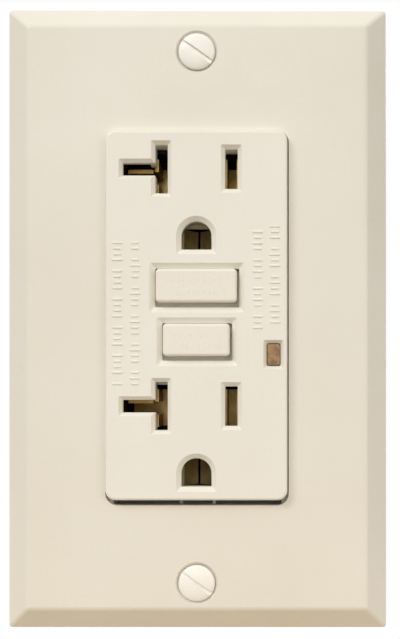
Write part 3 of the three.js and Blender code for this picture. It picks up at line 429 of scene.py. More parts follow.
coverShape = {
    "width": 33.0, "height": 66.4, "rise": 0.6, "corner": 1.8, "edge": 0.5, "wall": 2.4, "side": 1.6,
    "hollowCorner": 0.8, "flangeFront": -3.1, "flangeBack": -1.6, "flangeCorner": 1.5, "sleeve": 1.0,
    "sleeveCorner": 0.4, "flareDepth": 0.8, "bladeX": 6.35, "upperLine": 26.85, "lowerLine": -16.15,
    "groundDrop": 12.2, "hot": (2.3, 7.2, 0.75), "neutral": (2.3, 8.8, 0.7), "branchEnd": -13.4,
    "branchHeight": 2.3, "branchFlare": 0.65, "groundRadius": 2.75, "groundBelow": 2.4, "groundFlare": 0.9,
    "postX": 17.2, "postZ": 30.2, "postRadius": 2.0, "postHole": 1.4, "buttonShift": (0.14, -0.2),
    "buttonGap": 0.6, "buttonCorner": 0.3, "buttonFlare": 1.0, "lift": 0.5, "gapUnder": (15.5, 1.1, 0.1),
    "lensHole": (2.5, 4.1, 0.6, 0.3), "overlap": 0.1, "soft": 0.1,
}


def deviceHalf():
    return coverShape["width"] / 2, coverShape["height"] / 2


def flaredCutter(name, x, z, width, height, flare, corner=0.15, segments=2):
    # a cutter whose throat runs through the cover and whose mouth widens at its face
    s = coverShape
    face = span("face_cover")[0][1]
    throat = roundedBlock(name, (x - width / 2, face + s["flareDepth"], z - height / 2),
                          (x + width / 2, s["flangeBack"] + past, z + height / 2), corner, segments)
    extrudeFront(throat, s["flareDepth"], (flare, flare))
    return extrudeFront(throat, past)


def groundCutter(z):
    # a round-topped, flat-footed cutter: half a turned arch above, half a flared block below
    s = coverShape
    face = span("face_cover")[0][1]
    radius, flare = s["groundRadius"], s["groundFlare"]
    wide = 10  # wider than the hole on every side
    seam = 0.01  # the halves overlap by this, so that they join
    arch = turned("arch", [
        (face - past, radius + flare), (face, radius + flare), (face + s["flareDepth"], radius),
        (s["flangeBack"] + past, radius),
    ], (0, z), 64)
    cut(arch, block("foot", (-wide, face - 2 * past, z - wide), (wide, s["flangeBack"] + 2 * past, z)))
    foot = flaredCutter("foot", 0, z - s["groundBelow"] / 2 + seam, 2 * radius, s["groundBelow"] + 2 * seam,
                        flare)
    cut(foot, block("trim", (-wide, face - 2 * past, z + seam), (wide, s["flangeBack"] + 2 * past, z + wide)))
    return weld(arch, foot)


def buttonHole(node, name):
    s = coverShape
    low, high = span(node)
    width = high[0] - low[0] - 2 * buttonShape["lip"] + s["buttonGap"]
    height = high[2] - low[2] - 2 * buttonShape["lip"] + s["buttonGap"]
    x = (low[0] + high[0]) / 2 + s["buttonShift"][0]
    z = (low[2] + high[2]) / 2 + s["buttonShift"][1] + s["lift"]
    return flaredCutter(name, x, z, width, height, s["buttonFlare"], s["buttonCorner"], 3)


def slotSleeve(x, line, width, height, face):
    # the wall that stands round a blade slot inside the cover
    s = coverShape
    halfWidth, halfHeight = width / 2 + s["sleeve"], height / 2 + s["sleeve"]
    return roundedBlock("sleeve", (x - halfWidth, face + s["wall"] - s["overlap"], line - halfHeight),
                        (x + halfWidth, s["flangeBack"], line + halfHeight), s["sleeveCorner"], 2)


def faceCover():
    s = coverShape
    low, high = span("face_cover")
    face = low[1]
    halfWidth, halfHeight = deviceHalf()
    piece = roundedBlock("faceCover", (-halfWidth, face, -halfHeight),
                         (halfWidth, s["flangeBack"], halfHeight + s["rise"]), s["corner"], 8)
    roundFront(piece, s["edge"], 4)
    weld(piece, roundedBlock("flange", (low[0], s["flangeFront"], low[2]),
                             (high[0], s["flangeBack"], high[2]), s["flangeCorner"]))
    cut(piece, roundedBlock("hollow", (-halfWidth + s["side"], face + s["wall"], -halfHeight + s["side"]),
                            (halfWidth - s["side"], 0, halfHeight - s["side"]), s["hollowCorner"]))
    cutters = []
    for line in (s["upperLine"], s["lowerLine"]):
        for side, kind in ((1, "hot"), (-1, "neutral")):
            width, height, flare = s[kind]
            x = side * s["bladeX"]
            weld(piece, slotSleeve(x, line, width, height, face))
            cutters.append(flaredCutter(kind, x, line, width, height, flare))
        left, right = s["branchEnd"], -s["bladeX"]
        cutters.append(flaredCutter("branch", (left + right) / 2, line, right - left, s["branchHeight"],
                                    s["branchFlare"]))
        cutters.append(groundCutter(line - s["groundDrop"]))
    cutters.append(buttonHole("reset_button", "resetHole"))
    cutters.append(buttonHole("test_button", "testHole"))
    pipeLow, pipeHigh = span("light_pipe")
    cutters.append(flaredCutter("window", (pipeLow[0] + pipeHigh[0]) / 2,
                                (pipeLow[2] + pipeHigh[2]) / 2 + s["lift"], *s["lensHole"]))
    reach, below, above = s["gapUnder"]
    cutters.append(block("gap", (-reach, s["flangeFront"] - 0.2, -halfHeight - below),
                         (reach, s["flangeBack"] + 0.2, -halfHeight - above)))
    cut(piece, *cutters)
    post = [(s["flangeFront"] + s["overlap"], s["postRadius"]), (high[1], s["postRadius"])]
    hole = [(s["flangeBack"], s["postHole"]), (high[1] + past, s["postHole"])]
    for x in (s["postX"], -s["postX"]):
        for z in (s["postZ"], -s["postZ"]):
            weld(piece, turned("post", post, (x, z), 32))
            cut(piece, turned("hole", hole, (x, z), 24))
    soften(piece, s["soft"], 2, 40)
    gather("faceCover", [piece, faceMarks(face)])
    return hand(piece, "device", "face_cover", finishes["coverIvory"])


markShape = {
    "height": 0.16, "length": 1.85, "shortShare": 0.36, "thickness": 0.34, "pitch": 1.02, "sink": 0.1,
    "soft": 0.06,
    "columns": ((-14.3, 13.4, -12.8), (-11.1, 13.4, -12.8), (11.1, 16.4, -2.2), (14.2, 16.4, -2.2)),
}


def faceMarks(face):
    # raised graduation marks in groups of four, some longer than others
    s = markShape
    marks = []
    for column, (x, top, bottom) in enumerate(s["columns"]):
        count = int((top - bottom) / s["pitch"]) + 1
        for i in range(count):
            if (i + 2 * column) % 5 == 4:
                continue
            long = (i + column) % 5 in (0, 3)
            half = s["length"] / 2 if long else s["length"] * s["shortShare"]
            z = top - i * s["pitch"]
            marks.append(block("mark", (x - half, face - s["height"], z - s["thickness"] / 2),
                               (x + half, face + s["sink"], z + s["thickness"] / 2)))
    return soften(gather("marks", marks), s["soft"], 1, 60)


# Buttons

buttonShape = {
    "lip": 0.85, "lipThickness": 0.8, "lipGap": 0.3, "lipCorner": 0.8, "corner": 0.7, "edge": 0.55,
    "depth": 4.9, "setBack": 0.06, "trim": 0.3, "ribHeight": 0.14, "ribWidth": 0.32, "ribTall": 1.25,
    "ribShort": 0.32, "ribSink": 0.3, "ribSoft": 0.05, "ribPitch": 0.95,
    "resetRows": ((1.05, -5.2, 5.2), (-1.05, -4.3, 5.6)), "testRows": ((1.0, -3.9, 2.6), (-1.0, -2.6, 4.2)),
    "boss": 2.5, "socket": 1.3, "socketDepth": 1.8, "join": 0.2, "stem": (-2.2, -1, 1),
}


def button(name, node, rows):
    s = buttonShape
    low, high = span(node)
    lip, lift = s["lip"], coverShape["lift"]
    front, back = low[1] + s["setBack"], low[1] + s["depth"]
    lipFront = span("face_cover")[0][1] + coverShape["wall"] + s["lipGap"]
    left, right = low[0] + lip, high[0] - lip
    bottom, top = low[2] + lip + lift + s["trim"], high[2] - lip + lift
    piece = roundedBlock(name, (left, front, bottom), (right, back, top), s["corner"], 4)
    roundFront(piece, s["edge"], 4)
    weld(piece, roundedBlock("lip", (low[0], lipFront, low[2] + lift),
                             (high[0], lipFront + s["lipThickness"], high[2] + lift), s["lipCorner"], 3))
    middleX, middleZ = (left + right) / 2, (bottom + top) / 2
    ribs = []
    for z, first, last in rows:
        count = int((last - first) / s["ribPitch"]) + 1
        for i in range(count):
            x = middleX + first + i * s["ribPitch"]
            tall = s["ribTall"] / 2 if i % 3 else s["ribTall"] * s["ribShort"]
            ribs.append(block("rib", (x - s["ribWidth"] / 2, front - s["ribHeight"] / 3, middleZ + z - tall),
                              (x + s["ribWidth"] / 2, low[1] + s["ribSink"], middleZ + z + tall)))
    weld(piece, soften(gather("ribs", ribs), s["ribSoft"], 1, 60))
    return piece, back, middleX, (low[2] + high[2]) / 2


def resetButton():
    s = buttonShape
    piece, back, x, z = button("resetButton", "reset_button", s["resetRows"])
    end = span("reset_button")[1][1]
    weld(piece, turned("boss", [(back - s["join"], s["boss"]), (end, s["boss"])], (x, z), 32))
    cut(piece, turned("socket", [(back - s["socketDepth"], s["socket"]), (end + past, s["socket"])],
                      (x, z), 24))
    return hand(piece, "reset", "reset_button", finishes["buttonIvory"])


def testButton():
    s = buttonShape
    piece, back, _, z = button("testButton", "test_button", s["testRows"])
    end = span("test_button")[1][1]
    left, right, half = s["stem"]
    weld(piece, block("stem", (left, back - s["join"], z - half), (right, end, z + half)))
    return hand(piece, "test", "test_button", finishes["buttonIvory"])


# Plate screws

plateScrewShape = {
    "head": 3.33, "crown": 0.75, "crownAngles": (4, 14, 24, 34, 44, 54, 64, 74, 82), "rim": 0.12, "sink": 1.9,
    "shank": 1.6, "root": 1.3, "pitch": 0.79, "plain": 0.6, "lead": 1, "tip": 0.7, "slot": 0.72,
    "slotDepth": 0.85, "angle": 35, "soft": 0.06,
}
slotHalf = 6  # a screw slot's cutter is longer than any head


def plateScrew(name, node, body):
    s = plateScrewShape
    low, high = span(node)
    z = (low[2] + high[2]) / 2
    front = low[1]
    face = front + s["crown"]
    crown = [(face - s["crown"] * math.cos(a), max(s["head"] * math.sin(a), 0.05))
             for a in [math.radians(v) for v in s["crownAngles"]]]
    neck = face + s["sink"]
    stations = crown + [(face, s["head"]), (face + s["rim"], s["head"]), (neck, s["shank"])]
    y = neck + s["plain"]
    while y < high[1] - s["lead"]:
        stations += [(y, s["shank"]), (y + s["pitch"] / 2, s["root"])]
        y += s["pitch"]
    stations.append((high[1], s["root"] * s["tip"]))
    piece = turned(name, stations, (0, 0), 56)
    cut(piece, block("slot", (-slotHalf, front - past, -s["slot"] / 2),
                     (slotHalf, front + s["slotDepth"], s["slot"] / 2)))
    soften(piece, s["soft"], 2, 55)
    turnTo(piece, (0, math.radians(s["angle"]), 0), (0, 0, z))
    # the heads take the paler enamel: painted light against the shade of their seats
    return hand(piece, body, node, finishes["screwEnamel"])


# Indicator window

pipeShape = {"half": (1.15, 1.95), "corner": 0.3, "edge": 0.2, "back": -3.8, "rodStart": -4.8, "rod": 1.2}


def lightPipe():
    s = pipeShape
    low, high = span("light_pipe")
    x, z = (low[0] + high[0]) / 2, (low[2] + high[2]) / 2
    halfX, halfZ = s["half"]
    lift = coverShape["lift"]
    pipe = roundedBlock("lightPipe", (x - halfX, low[1], z - halfZ + lift),
                        (x + halfX, s["back"], z + halfZ + lift), s["corner"], 3)
    roundFront(pipe, s["edge"], 3)
    weld(pipe, turned("rod", [(s["rodStart"], s["rod"]), (high[1], s["rod"])], (x, z), 32))
    return hand(pipe, "device", "light_pipe", finishes["amberLens"])


wallPlate()
faceCover()
resetButton()
testButton()
plateScrew("plateScrewUpper", "plate_screw_upper", "plate_screw_upper_body")
plateScrew("plateScrewLower", "plate_screw_lower", "plate_screw_lower_body")
lightPipe()
print("front pieces ready")

# Metal strap that carries the device

strapShape = {
    "front": -1.3, "end": 53.2, "width": 29.0, "earWidth": 38.0, "earLength": 9.2, "earCorner": 2,
    "neckEnd": 34.4, "web": 6.6, "webCorner": 0.5, "overlap": 2, "ring": 5.6, "pinHole": (3.05, 2.9),
    "frame": (25.0, 24.4), "window": (18.0, 19.8), "corner": 1, "boxSpacing": 83.3,
    "boxSlot": (3.2, 1.9, 1.8), "tapped": 1.9, "chamfer": 0.3, "notch": 0.6, "notchPast": 1,
    "notchShare": 0.35,
    "dimple": (1.16, 4.6, 0.35, 0.8, 1.0, 0.5), "tab": (-14.5, -13.2, 9.5, -43.2, -35.2), "tabRound": 2,
    "tabHole": (5.2, -39.2, 2.2), "relief": (2.8, 33.1, 34.35), "soft": 0.16,
}


def mirrored(low, high, side):
    return (low, high) if side > 0 else (-high, -low)


def strapEnd(piece, side):
    # neck and ear at one end: joins their blocks on and returns the cutters for their holes
    s = strapShape
    front, end, half = s["front"], s["end"], s["width"] / 2
    low, high = mirrored(s["neckEnd"], end, side)
    weld(piece, roundedBlock("neck", (-half, front, low), (half, 0, high), s["corner"], 3))
    low, high = mirrored(end - s["earLength"], end, side)
    weld(piece, roundedBlock("ear", (-s["earWidth"] / 2, front, low), (s["earWidth"] / 2, 0, high),
                             s["earCorner"], 5))
    reach, inner, outer = s["relief"]
    low, high = mirrored(inner, outer, side)
    cutters = [block("relief", (-reach, front - past, low), (reach, past, high))]
    mouth = s["tapped"] + s["chamfer"]
    tapped = [(front - past, mouth), (front, mouth), (front + s["chamfer"], s["tapped"]), (past, s["tapped"])]
    cutters.append(turned("tapped", tapped, (0, side * plateScrewZ()), 32))
    slotZ = side * s["boxSpacing"] / 2
    slotX, slotHeight, slotCorner = s["boxSlot"]
    cutters.append(roundedBlock("boxSlot", (-slotX, front - past, slotZ - slotHeight),
                                (slotX, past, slotZ + slotHeight), slotCorner, 6))
    low, high = mirrored(end - s["earLength"] - s["notchPast"], end - s["earLength"] * s["notchShare"], side)
    out, inset, depth, narrow, wide, beyond = s["dimple"]
    for x in (half, -half):
        cutters.append(block("score", (x - s["notch"], front - past, low), (x + s["notch"], past, high)))
        place = (x * out, side * (end - inset))
        cutters.append(turned("dimple", [(-depth, narrow), (beyond, wide)], place, 20))
        cutters.append(turned("dimple", [(front - beyond, wide), (front + depth, narrow)], place, 20))
    return cutters


def groundTab():
    # the ear for the green screw, folded back from the strap, with its far corners rounded
    s = strapShape
    x0, x1, back, low, high = s["tab"]
    tab = block("tab", (x0, s["front"], low), (x1, back, high))
    atBack = backMost(tab)
    work(tab, "EDGE", lambda edge: atBack(edge) and abs(edge.verts[0].co.x - edge.verts[1].co.x) > touching,
         bpy.ops.mesh.bevel, offset=s["tabRound"] * mm, segments=5, affect="EDGES")
    y, z, radius = s["tabHole"]
    hole = turnTo(turned("tabHole", [(-3, radius), (3, radius)]), (0, 0, math.pi / 2), ((x0 + x1) / 2, y, z))
    return tab, hole


def mountingStrap():
    s = strapShape
    front, web, reach = s["front"], s["web"] / 2, s["neckEnd"] + s["overlap"]
    piece = roundedBlock("mountingStrap", (-web, front, -reach), (web, 0, reach), s["webCorner"], 2)
    width, height = s["frame"]
    weld(piece, roundedBlock("frame", (-width / 2, front, -height / 2), (width / 2, 0, height / 2),
                             s["corner"], 3))
    width, height = s["window"]
    cutters = [roundedBlock("window", (-width / 2, front - past, -height / 2), (width / 2, past, height / 2),
                            s["corner"], 3)]
    radius, foot = s["pinHole"]
    for line in (coverShape["upperLine"], coverShape["lowerLine"]):
        z = line - coverShape["groundDrop"]
        weld(piece, turned("ring", [(front, s["ring"]), (0, s["ring"])], (0, z), 40))
        cutters.append(turned("hole", [(front - past, radius), (past, radius)], (0, z), 40))
        cutters.append(block("hole", (-radius, front - past, z - foot), (radius, past, z)))
    for side in (1, -1):
        cutters += strapEnd(piece, side)
    tab, hole = groundTab()
    weld(piece, tab)
    cut(piece, *cutters, hole)
    soften(piece, s["soft"], 2, 50)
    return hand(piece, "device", "mounting_strap", finishes["galvanised"])


def plateScrewZ():
    low, high = span("plate_screw_upper")
    return (low[2] + high[2]) / 2


# Clip that pinches a plug's grounding pin

clipShape = {"base": 3.8, "corner": 1, "sheet": 0.7, "width": 5.2, "root": 2.6, "lip": 1.9, "tip": 9.0,
             "path": ((1.2, 2.5), (3.4, 1.2), (4.6, 0.2), (5.6, 0.35)), "start": 0.2, "soft": 0.08}


def groundClip(name, node):
    s = clipShape
    low = span(node)[0]
    z, front = low[2] + s["base"], low[1]
    base, root, half = s["base"], s["root"], s["width"] / 2
    piece = roundedBlock(name, (-base, front, z - base), (base, front + s["sheet"], z + base), s["corner"], 3)
    cut(piece, block("mouth", (-root, front - past, z - half), (root, front + 2 * past, z + half)))
    path = [(front, root)] + [(front + y, x) for y, x in s["path"]] + [(s["tip"], s["lip"])]
    for side in (1, -1):
        leaf = block("leaf", (side * root, front, z - half),
                     (side * (root + s["sheet"]), front + s["start"], z + half))
        for last, this in zip(path, path[1:]):
            step = (side * (this[1] - last[1]) * mm, (this[0] - last[0]) * mm, 0)
            work(leaf, "FACE", backMost(leaf), bpy.ops.mesh.extrude_region_move,
                 TRANSFORM_OT_translate={"value": step})
        scale = (s["tip"] - front) / (max(v.co.y for v in leaf.data.vertices) / mm - front)
        leaf.location.y = front * (1 - scale) * mm
        leaf.scale.y = scale
        weld(piece, settle(leaf))
    soften(piece, s["soft"], 2, 50)
    # the clips take the paler brass: painted light for their place deep in the ground holes
    return hand(piece, "device", node, finishes["paledClipBrass"])


# Screws with cut threads

def thread(start, end, s):
    # stations of a cut thread, crest to crest
    stations = []
    y = start
    while y < end - s["pitch"]:
        stations += [(y, s["shank"]), (y + s["pitch"] * 0.42, s["root"]), (y + s["pitch"] * 0.58, s["root"])]
        y += s["pitch"]
    return stations


boxScrewShape = {"head": 3.5, "rise": 1.4, "crownAngles": (6, 18, 30, 42, 54, 66, 78),
                 "rim": (0.05, 0.98, 0.94), "plain": 0.8, "lead": 1.2, "shank": 1.6, "root": 1.28,
                 "pitch": 0.79, "slot": 0.8, "slotDepth": 0.8, "crossHalf": 1.7, "tip": 0.85, "soft": 0.05}


def boxScrew(side, label):
    s = boxScrewShape
    node = f"box_screw_{label}"
    low, high = span(node)
    seat = low[1] + s["rise"]
    z = side * strapShape["boxSpacing"] / 2
    rim, crownShare, seatShare = s["rim"]
    crown = [(seat - s["rise"] * math.cos(a), max(s["head"] * crownShare * math.sin(a), 0.05))
             for a in [math.radians(v) for v in s["crownAngles"]]]
    head = [(seat - rim, s["head"] * crownShare), (seat, s["head"] * seatShare), (seat, s["shank"])]
    cutThread = thread(seat + s["plain"], high[1] - s["lead"], s)
    piece = turned(f"boxScrew{label.title()}", crown + head + cutThread + [(high[1], s["tip"])], (0, z), 40)
    half, deep, cross = s["slot"] / 2, low[1] + s["slotDepth"], s["crossHalf"]
    cut(piece, block("slot", (-slotHalf, low[1] - past, z - half), (slotHalf, deep, z + half)),
        block("slot", (-half, low[1] - past, z - cross), (half, deep, z + cross)))
    soften(piece, s["soft"], 1, 60)
    return hand(piece, f"box_screw_{label}_body", node, finishes["zincPlate"])


washerShape = {"corner": 1.2, "hole": 1.75, "slitAt": 2.1, "slitHalf": 0.12, "slitReach": 0.5, "soft": 0.05}


def boxWasher(label):
    s = washerShape
    node = f"box_screw_washer_{label}"
    low, high = span(node)
    z = (low[2] + high[2]) / 2
    piece = roundedBlock(f"boxWasher{label.title()}", low, high, s["corner"], 4)
    cut(piece, turned("hole", [(low[1] - past, s["hole"]), (high[1] + past, s["hole"])], (0, z), 24))
    for x, dz in ((1, 0), (-1, 0), (0, 1), (0, -1)):
        halfX = s["slitHalf"] + abs(x) * s["slitReach"]
        halfZ = s["slitHalf"] + abs(dz) * s["slitReach"]
        slitX, slitZ = x * s["slitAt"], z + dz * s["slitAt"]
        cut(piece, block("slit", (slitX - halfX, low[1] - past, slitZ - halfZ),
                         (slitX + halfX, high[1] + past, slitZ + halfZ)))
    soften(piece, s["soft"], 1, 60)
    return hand(piece, "device", node, finishes["fibreCard"])


terminalShape = {"head": 3.9, "rise": 1.8, "top": ((0, -1.0), (0.12, -0.6), (0.55, -0.08), (0.7, 0), (1.5, 0),
                                                   (1.65, -0.12), (1.8, -0.25)),
                 "plain": 0.5, "shank": 2.05, "root": 1.7, "pitch": 0.79, "slot": 0.9, "depth": 0.95,
                 "crossHalf": 2.3, "soft": 0.06}


def terminalScrew(node, side, body, slotName, material):
    # made along Y with its seat at the origin, then turned to stand out of the side
    s = terminalShape
    low, high = span(node)
    length = high[0] - low[0] - s["rise"]
    z, y = (low[2] + high[2]) / 2, (low[1] + high[1]) / 2
    seatX = side * (max(abs(low[0]), abs(high[0])) - s["rise"])
    head = [(height - s["rise"], s["head"] + wider) for height, wider in s["top"]] + [(0, s["shank"])]
    piece = turned(node, head + thread(s["plain"], length, s) + [(length, s["root"])], (0, 0), 44)
    half, top, deep, cross = s["slot"] / 2, -s["rise"] - past, s["depth"] - s["rise"], s["crossHalf"]
    cut(piece, block("slot", (-slotHalf, top, -half), (slotHalf, deep, half)),
        block("slot", (-half, top, -cross), (half, deep, cross)))
    soften(piece, s["soft"], 1, 50)
    turnTo(piece, (0, 0, side * math.pi / 2), (seatX, y, z))
    return hand(piece, body, node, material)


clampShape = {"corner": 0.7, "hole": 2.35, "groove": (7, 0.35, 0.25), "groovePitch": 1.5,
              "ear": (0.9, 0.3, 1.2), "soft": 0.06}


def terminalClamp(node, side, body, slotName, material):
    s = clampShape
    low, high = span(node)
    y, z = (low[1] + high[1]) / 2, (low[2] + high[2]) / 2
    half, thick = (high[1] - low[1]) / 2, high[0] - low[0]
    piece = roundedBlock(node, (-half, 0, -half), (half, thick, half), s["corner"], 4)
    cutters = [turned("hole", [(-past, s["hole"]), (2 * past, s["hole"])], (0, 0), 32)]
    reach, deep, width = s["groove"]
    for i in range(-3, 4):
        groove = block("groove", (-reach, -deep, -width), (reach, width, width))
        slant = math.pi / 4 if i % 2 else -math.pi / 4
        cutters.append(turnTo(groove, (0, slant, 0), (0, thick, i * s["groovePitch"])))
    cut(piece, *cutters)
    inset, narrow, depth = s["ear"]
    for x in (half - inset, -half + inset):
        cut(piece, block("ear", (x - narrow, -past, -half - past), (x + narrow, 2 * past, -half + depth)),
            block("ear", (x - narrow, -past, half - depth), (x + narrow, 2 * past, half + past)))
    soften(piece, s["soft"], 1, 50)
    turnTo(piece, (0, 0, side * math.pi / 2), (high[0] if side > 0 else low[0], y, z))
    return hand(piece, body, node, material)


groundScrewShape = {"flange": 4.0, "hex": 3.6, "rise": 2.4, "plain": 0.5, "lead": 0.8, "shank": 1.9,
                    "root": 1.55, "pitch": 0.79, "slot": 0.9, "slotDepth": 1.2, "soft": 0.07}


def groundScrew():
    s = groundScrewShape
    low, high = span("ground_screw")
    seat = low[0] + s["rise"]
    length = high[0] - seat
    flange = [(-s["rise"] * 0.3, s["flange"] - 0.3), (-s["rise"] * 0.2, s["flange"]), (-0.15, s["flange"]),
              (0, s["flange"] - 0.2), (0, s["shank"])]
    cutThread = thread(s["plain"], length - s["lead"], s)
    piece = turned("groundScrew", flange + cutThread + [(length, s["root"] * 0.8)], (0, 0), 44)
    weld(piece, turned("hexagon", [(-s["rise"], s["hex"] * 0.86), (-s["rise"] + 0.3, s["hex"]),
                                   (-0.4, s["hex"])], (0, 0), 6))
    cut(piece, block("slot", (-slotHalf, -s["rise"] - past, -s["slot"] / 2),
                     (slotHalf, -s["rise"] + s["slotDepth"], s["slot"] / 2)))
    soften(piece, s["soft"], 1, 45)
    turnTo(piece, (0, 0, -math.pi / 2), (seat, (low[1] + high[1]) / 2, (low[2] + high[2]) / 2))
    return hand(piece, "ground_screw_body", "ground_screw", finishes["greenZinc"])


assemblyShape = {"head": 2.28, "rise": 1.2, "crown": ((0.5, 1), (0.9, 0.86)), "top": 0.55,
                 "point": (0.4, 0.9), "plain": 1.2, "threaded": 10, "shank": 1.1, "root": 0.85, "pitch": 0.6,
                 "cross": (1.4, 0.25, 0.6), "soft": 0.05}


def assemblyScrew(number):
    s = assemblyShape
    node = f"assembly_screw_{number}"
    low, high = span(node)
    x, z = (low[0] + high[0]) / 2, (low[2] + high[2]) / 2
    seat = high[1] - s["rise"]
    point, taper = s["point"]
    tip = [(low[1], point), (low[1] + taper, s["root"])]
    head = [(seat, s["shank"]), (seat, s["head"])]
    head += [(seat + up, s["head"] * share) for up, share in s["crown"]] + [(high[1], s["head"] * s["top"])]
    cutThread = thread(low[1] + s["plain"], low[1] + s["threaded"], s)
    piece = turned(f"assemblyScrew{number}", tip + cutThread + head, (x, z), 32)
    long, narrow, deep = s["cross"]
    for halfX, halfZ in ((long, narrow), (narrow, long)):
        cut(piece, block("slot", (x - halfX, high[1] - deep, z - halfZ),
                         (x + halfX, high[1] + past, z + halfZ)))
    soften(piece, s["soft"], 1, 50)
    return hand(piece, "device", node, finishes["zincPlate"])


# Back housing

housingShape = {
    "front": -1.3, "inside": 26.0, "corner": 1.5, "backRound": 0.9, "neck": (14.8, 0.3),
    "rooms": ((15.2, -32.5, 32.5), (19.5, -11.7, 11.7), (19.5, 26.3, 28.2), (19.5, -28.2, -26.3)),
    "pocketFloor": 16.6, "pocket": (6.4, 25.0), "pocketZ": (13.0, 25.0), "slitDepth": 2.3,
    "wireX": 19.3, "wireOffset": 3.3, "wire": 1.6, "wireFlare": (0.7, 0.45),
    "lineSlot": (22.4, 23.8, -20.8, -17.2), "loadSlot": (12.8, 14.2, 15.1, 17.8),
    "post": 2.3, "postDepth": 7.3, "hole": 1.4, "seat": 2.7, "seatDepth": 26.5, "seatFlare": (0.3, 0.4),
    "seam": (8.6, 9.1, 0.28), "rib": (0.35, 0.55, 2.6), "ribSpan": (11.5, 25.2),
    "panel": (12.6, 27.6, 0.45, 1.2), "gauge": (3.4, 12.0, 0.6, 1.6), "gaugeAt": 22, "soft": 0.16,
    "scale": (9, -10, 2.5, 0.4, -11.5, 2.4, 1.3), "scaleDepth": (0.65, 0.25), "ejectors": (8.5, 4.5),
}


def terminalPockets(high):
    # the four open pockets for the terminals, their wire holes and the slits their conductors pass through
    s = housingShape
    start, end = s["pocket"]
    depth, flare = s["wireFlare"]
    wire = [(end - past, s["wire"]), (high[1] - depth, s["wire"]), (high[1], s["wire"] + flare),
            (high[1] + past, s["wire"] + flare)]
    cutters = []
    for side in (1, -1):
        for upDown in (1, -1):
            x0, x1 = mirrored(s["pocketFloor"], high[0] + past, side)
            z0, z1 = mirrored(*s["pocketZ"], upDown)
            cutters.append(block("pocket", (x0, start, z0), (x1, end, z1)))
            for offset in (s["wireOffset"], -s["wireOffset"]):
                cutters.append(turned("wire", wire, (side * s["wireX"], (z0 + z1) / 2 + offset), 32))
        for y0, y1, z0, z1 in (s["lineSlot"], s["loadSlot"]):
            x0, x1 = mirrored(s["pocketFloor"] - s["slitDepth"], s["pocketFloor"] + past, side)
            cutters.append(block("slit", (x0, y0, z0), (x1, y1, z1)))
    return cutters


def seamsAndRibs(low, high):
    # the moulding seam round the four walls, and cooling grooves in them
    s = housingShape
    seam0, seam1, seamDepth = s["seam"]
    depth, half, pitch = s["rib"]
    rib0, rib1 = s["ribSpan"]
    cutters = []
    for side in (1, -1):
        x0, x1 = mirrored(high[0] - seamDepth, high[0] + past, side)
        cutters.append(block("seam", (x0, seam0, low[2] - past), (x1, seam1, high[2] + past)))
        x0, x1 = mirrored(high[0] - depth, high[0] + past, side)
        for i in range(-3, 4):
            cutters.append(block("rib", (x0, rib0, i * pitch - half), (x1, rib1, i * pitch + half)))
    for side in (1, -1):
        z0, z1 = mirrored(high[2] - seamDepth, high[2] + past, side)
        cutters.append(block("seam", (low[0] - past, seam0, z0), (high[0] + past, seam1, z1)))
        z0, z1 = mirrored(high[2] - depth, high[2] + past, side)
        for i in range(-4, 5):
            cutters.append(block("rib", (i * pitch - half, rib0, z0), (i * pitch + half, rib1, z1)))
    return cutters


def screwSeats(back):
    # room for the cover's posts, and a hole and a sunk seat behind each for its screw
    s = housingShape
    depth, flare = s["seatFlare"]
    seat = [(s["seatDepth"], s["seat"]), (back - depth, s["seat"]), (back + 0.2, s["seat"] + flare),
            (back + past, s["seat"] + flare)]
    post = [(s["front"] - past, s["post"]), (s["postDepth"], s["post"])]
    hole = [(s["postDepth"] - past, s["hole"]), (back + past, s["hole"])]
    cutters = []
    for x in (coverShape["postX"], -coverShape["postX"]):
        for z in (coverShape["postZ"], -coverShape["postZ"]):
            cutters.append(turned("post", post, (x, z), 32))
            cutters.append(turned("hole", hole, (x, z), 24))
            cutters.append(turned("seat", seat, (x, z), 40))
    return cutters


def backMarks(back):
    # a small scale and two ejector rings, moulded into the sunk panel
    s = housingShape
    count, start, pitch, width, foot, tall, short = s["scale"]
    deep, proud = s["scaleDepth"]
    marks = []
    for i in range(count):
        x = start + i * pitch
        reach = tall if i % 4 == 0 else short
        marks.append(block("mark", (x, back - deep, foot), (x + width, back - proud, foot + reach)))
    x, z = s["ejectors"]
    ring = [(back - deep, 2.2), (back - 0.28, 2.2), (back - 0.28, 1.8), (back - 0.38, 1.7)]  # a shallow dish
    return marks + [turned("ejector", ring, (side * x, z), 32) for side in (-1, 1)]


def backHousing():
    s = housingShape
    low, high = span("back_housing")
    back = high[1]
    piece = roundedBlock("backHousing", (low[0], s["front"], low[2]), high, s["corner"], 6)
    work(piece, "EDGE", backMost(piece), bpy.ops.mesh.bevel, offset=s["backRound"] * mm, segments=4,
         affect="EDGES")
    cutters = [block("room", (-x, s["front"] - past, z0), (x, s["inside"], z1)) for x, z0, z1 in s["rooms"]]
    x, y = s["neck"]
    cutters.append(block("neck", (-x, s["front"] - past, low[2] - past), (x, y, high[2] + past)))
    cutters += terminalPockets(high) + seamsAndRibs(low, high) + screwSeats(back)
    width, height, depth, corner = s["panel"]
    cutters.append(roundedBlock("panel", (-width, back - depth, -height / 2 - 1),
                                (width, back + past, height / 2 - 1), corner, 4))
    width, length, depth, corner = s["gauge"]
    for z in (s["gaugeAt"], -s["gaugeAt"]):
        cutters.append(roundedBlock("gauge", (-length / 2, back - depth, z - width / 2),
                                    (length / 2, back + past, z + width / 2), corner, 5))
    cut(piece, *cutters)
    soften(piece, s["soft"], 2, 50)
    gather("backHousing", [piece, *backMarks(back)])
    return hand(piece, "device", "back_housing", finishes["housingGrey"])


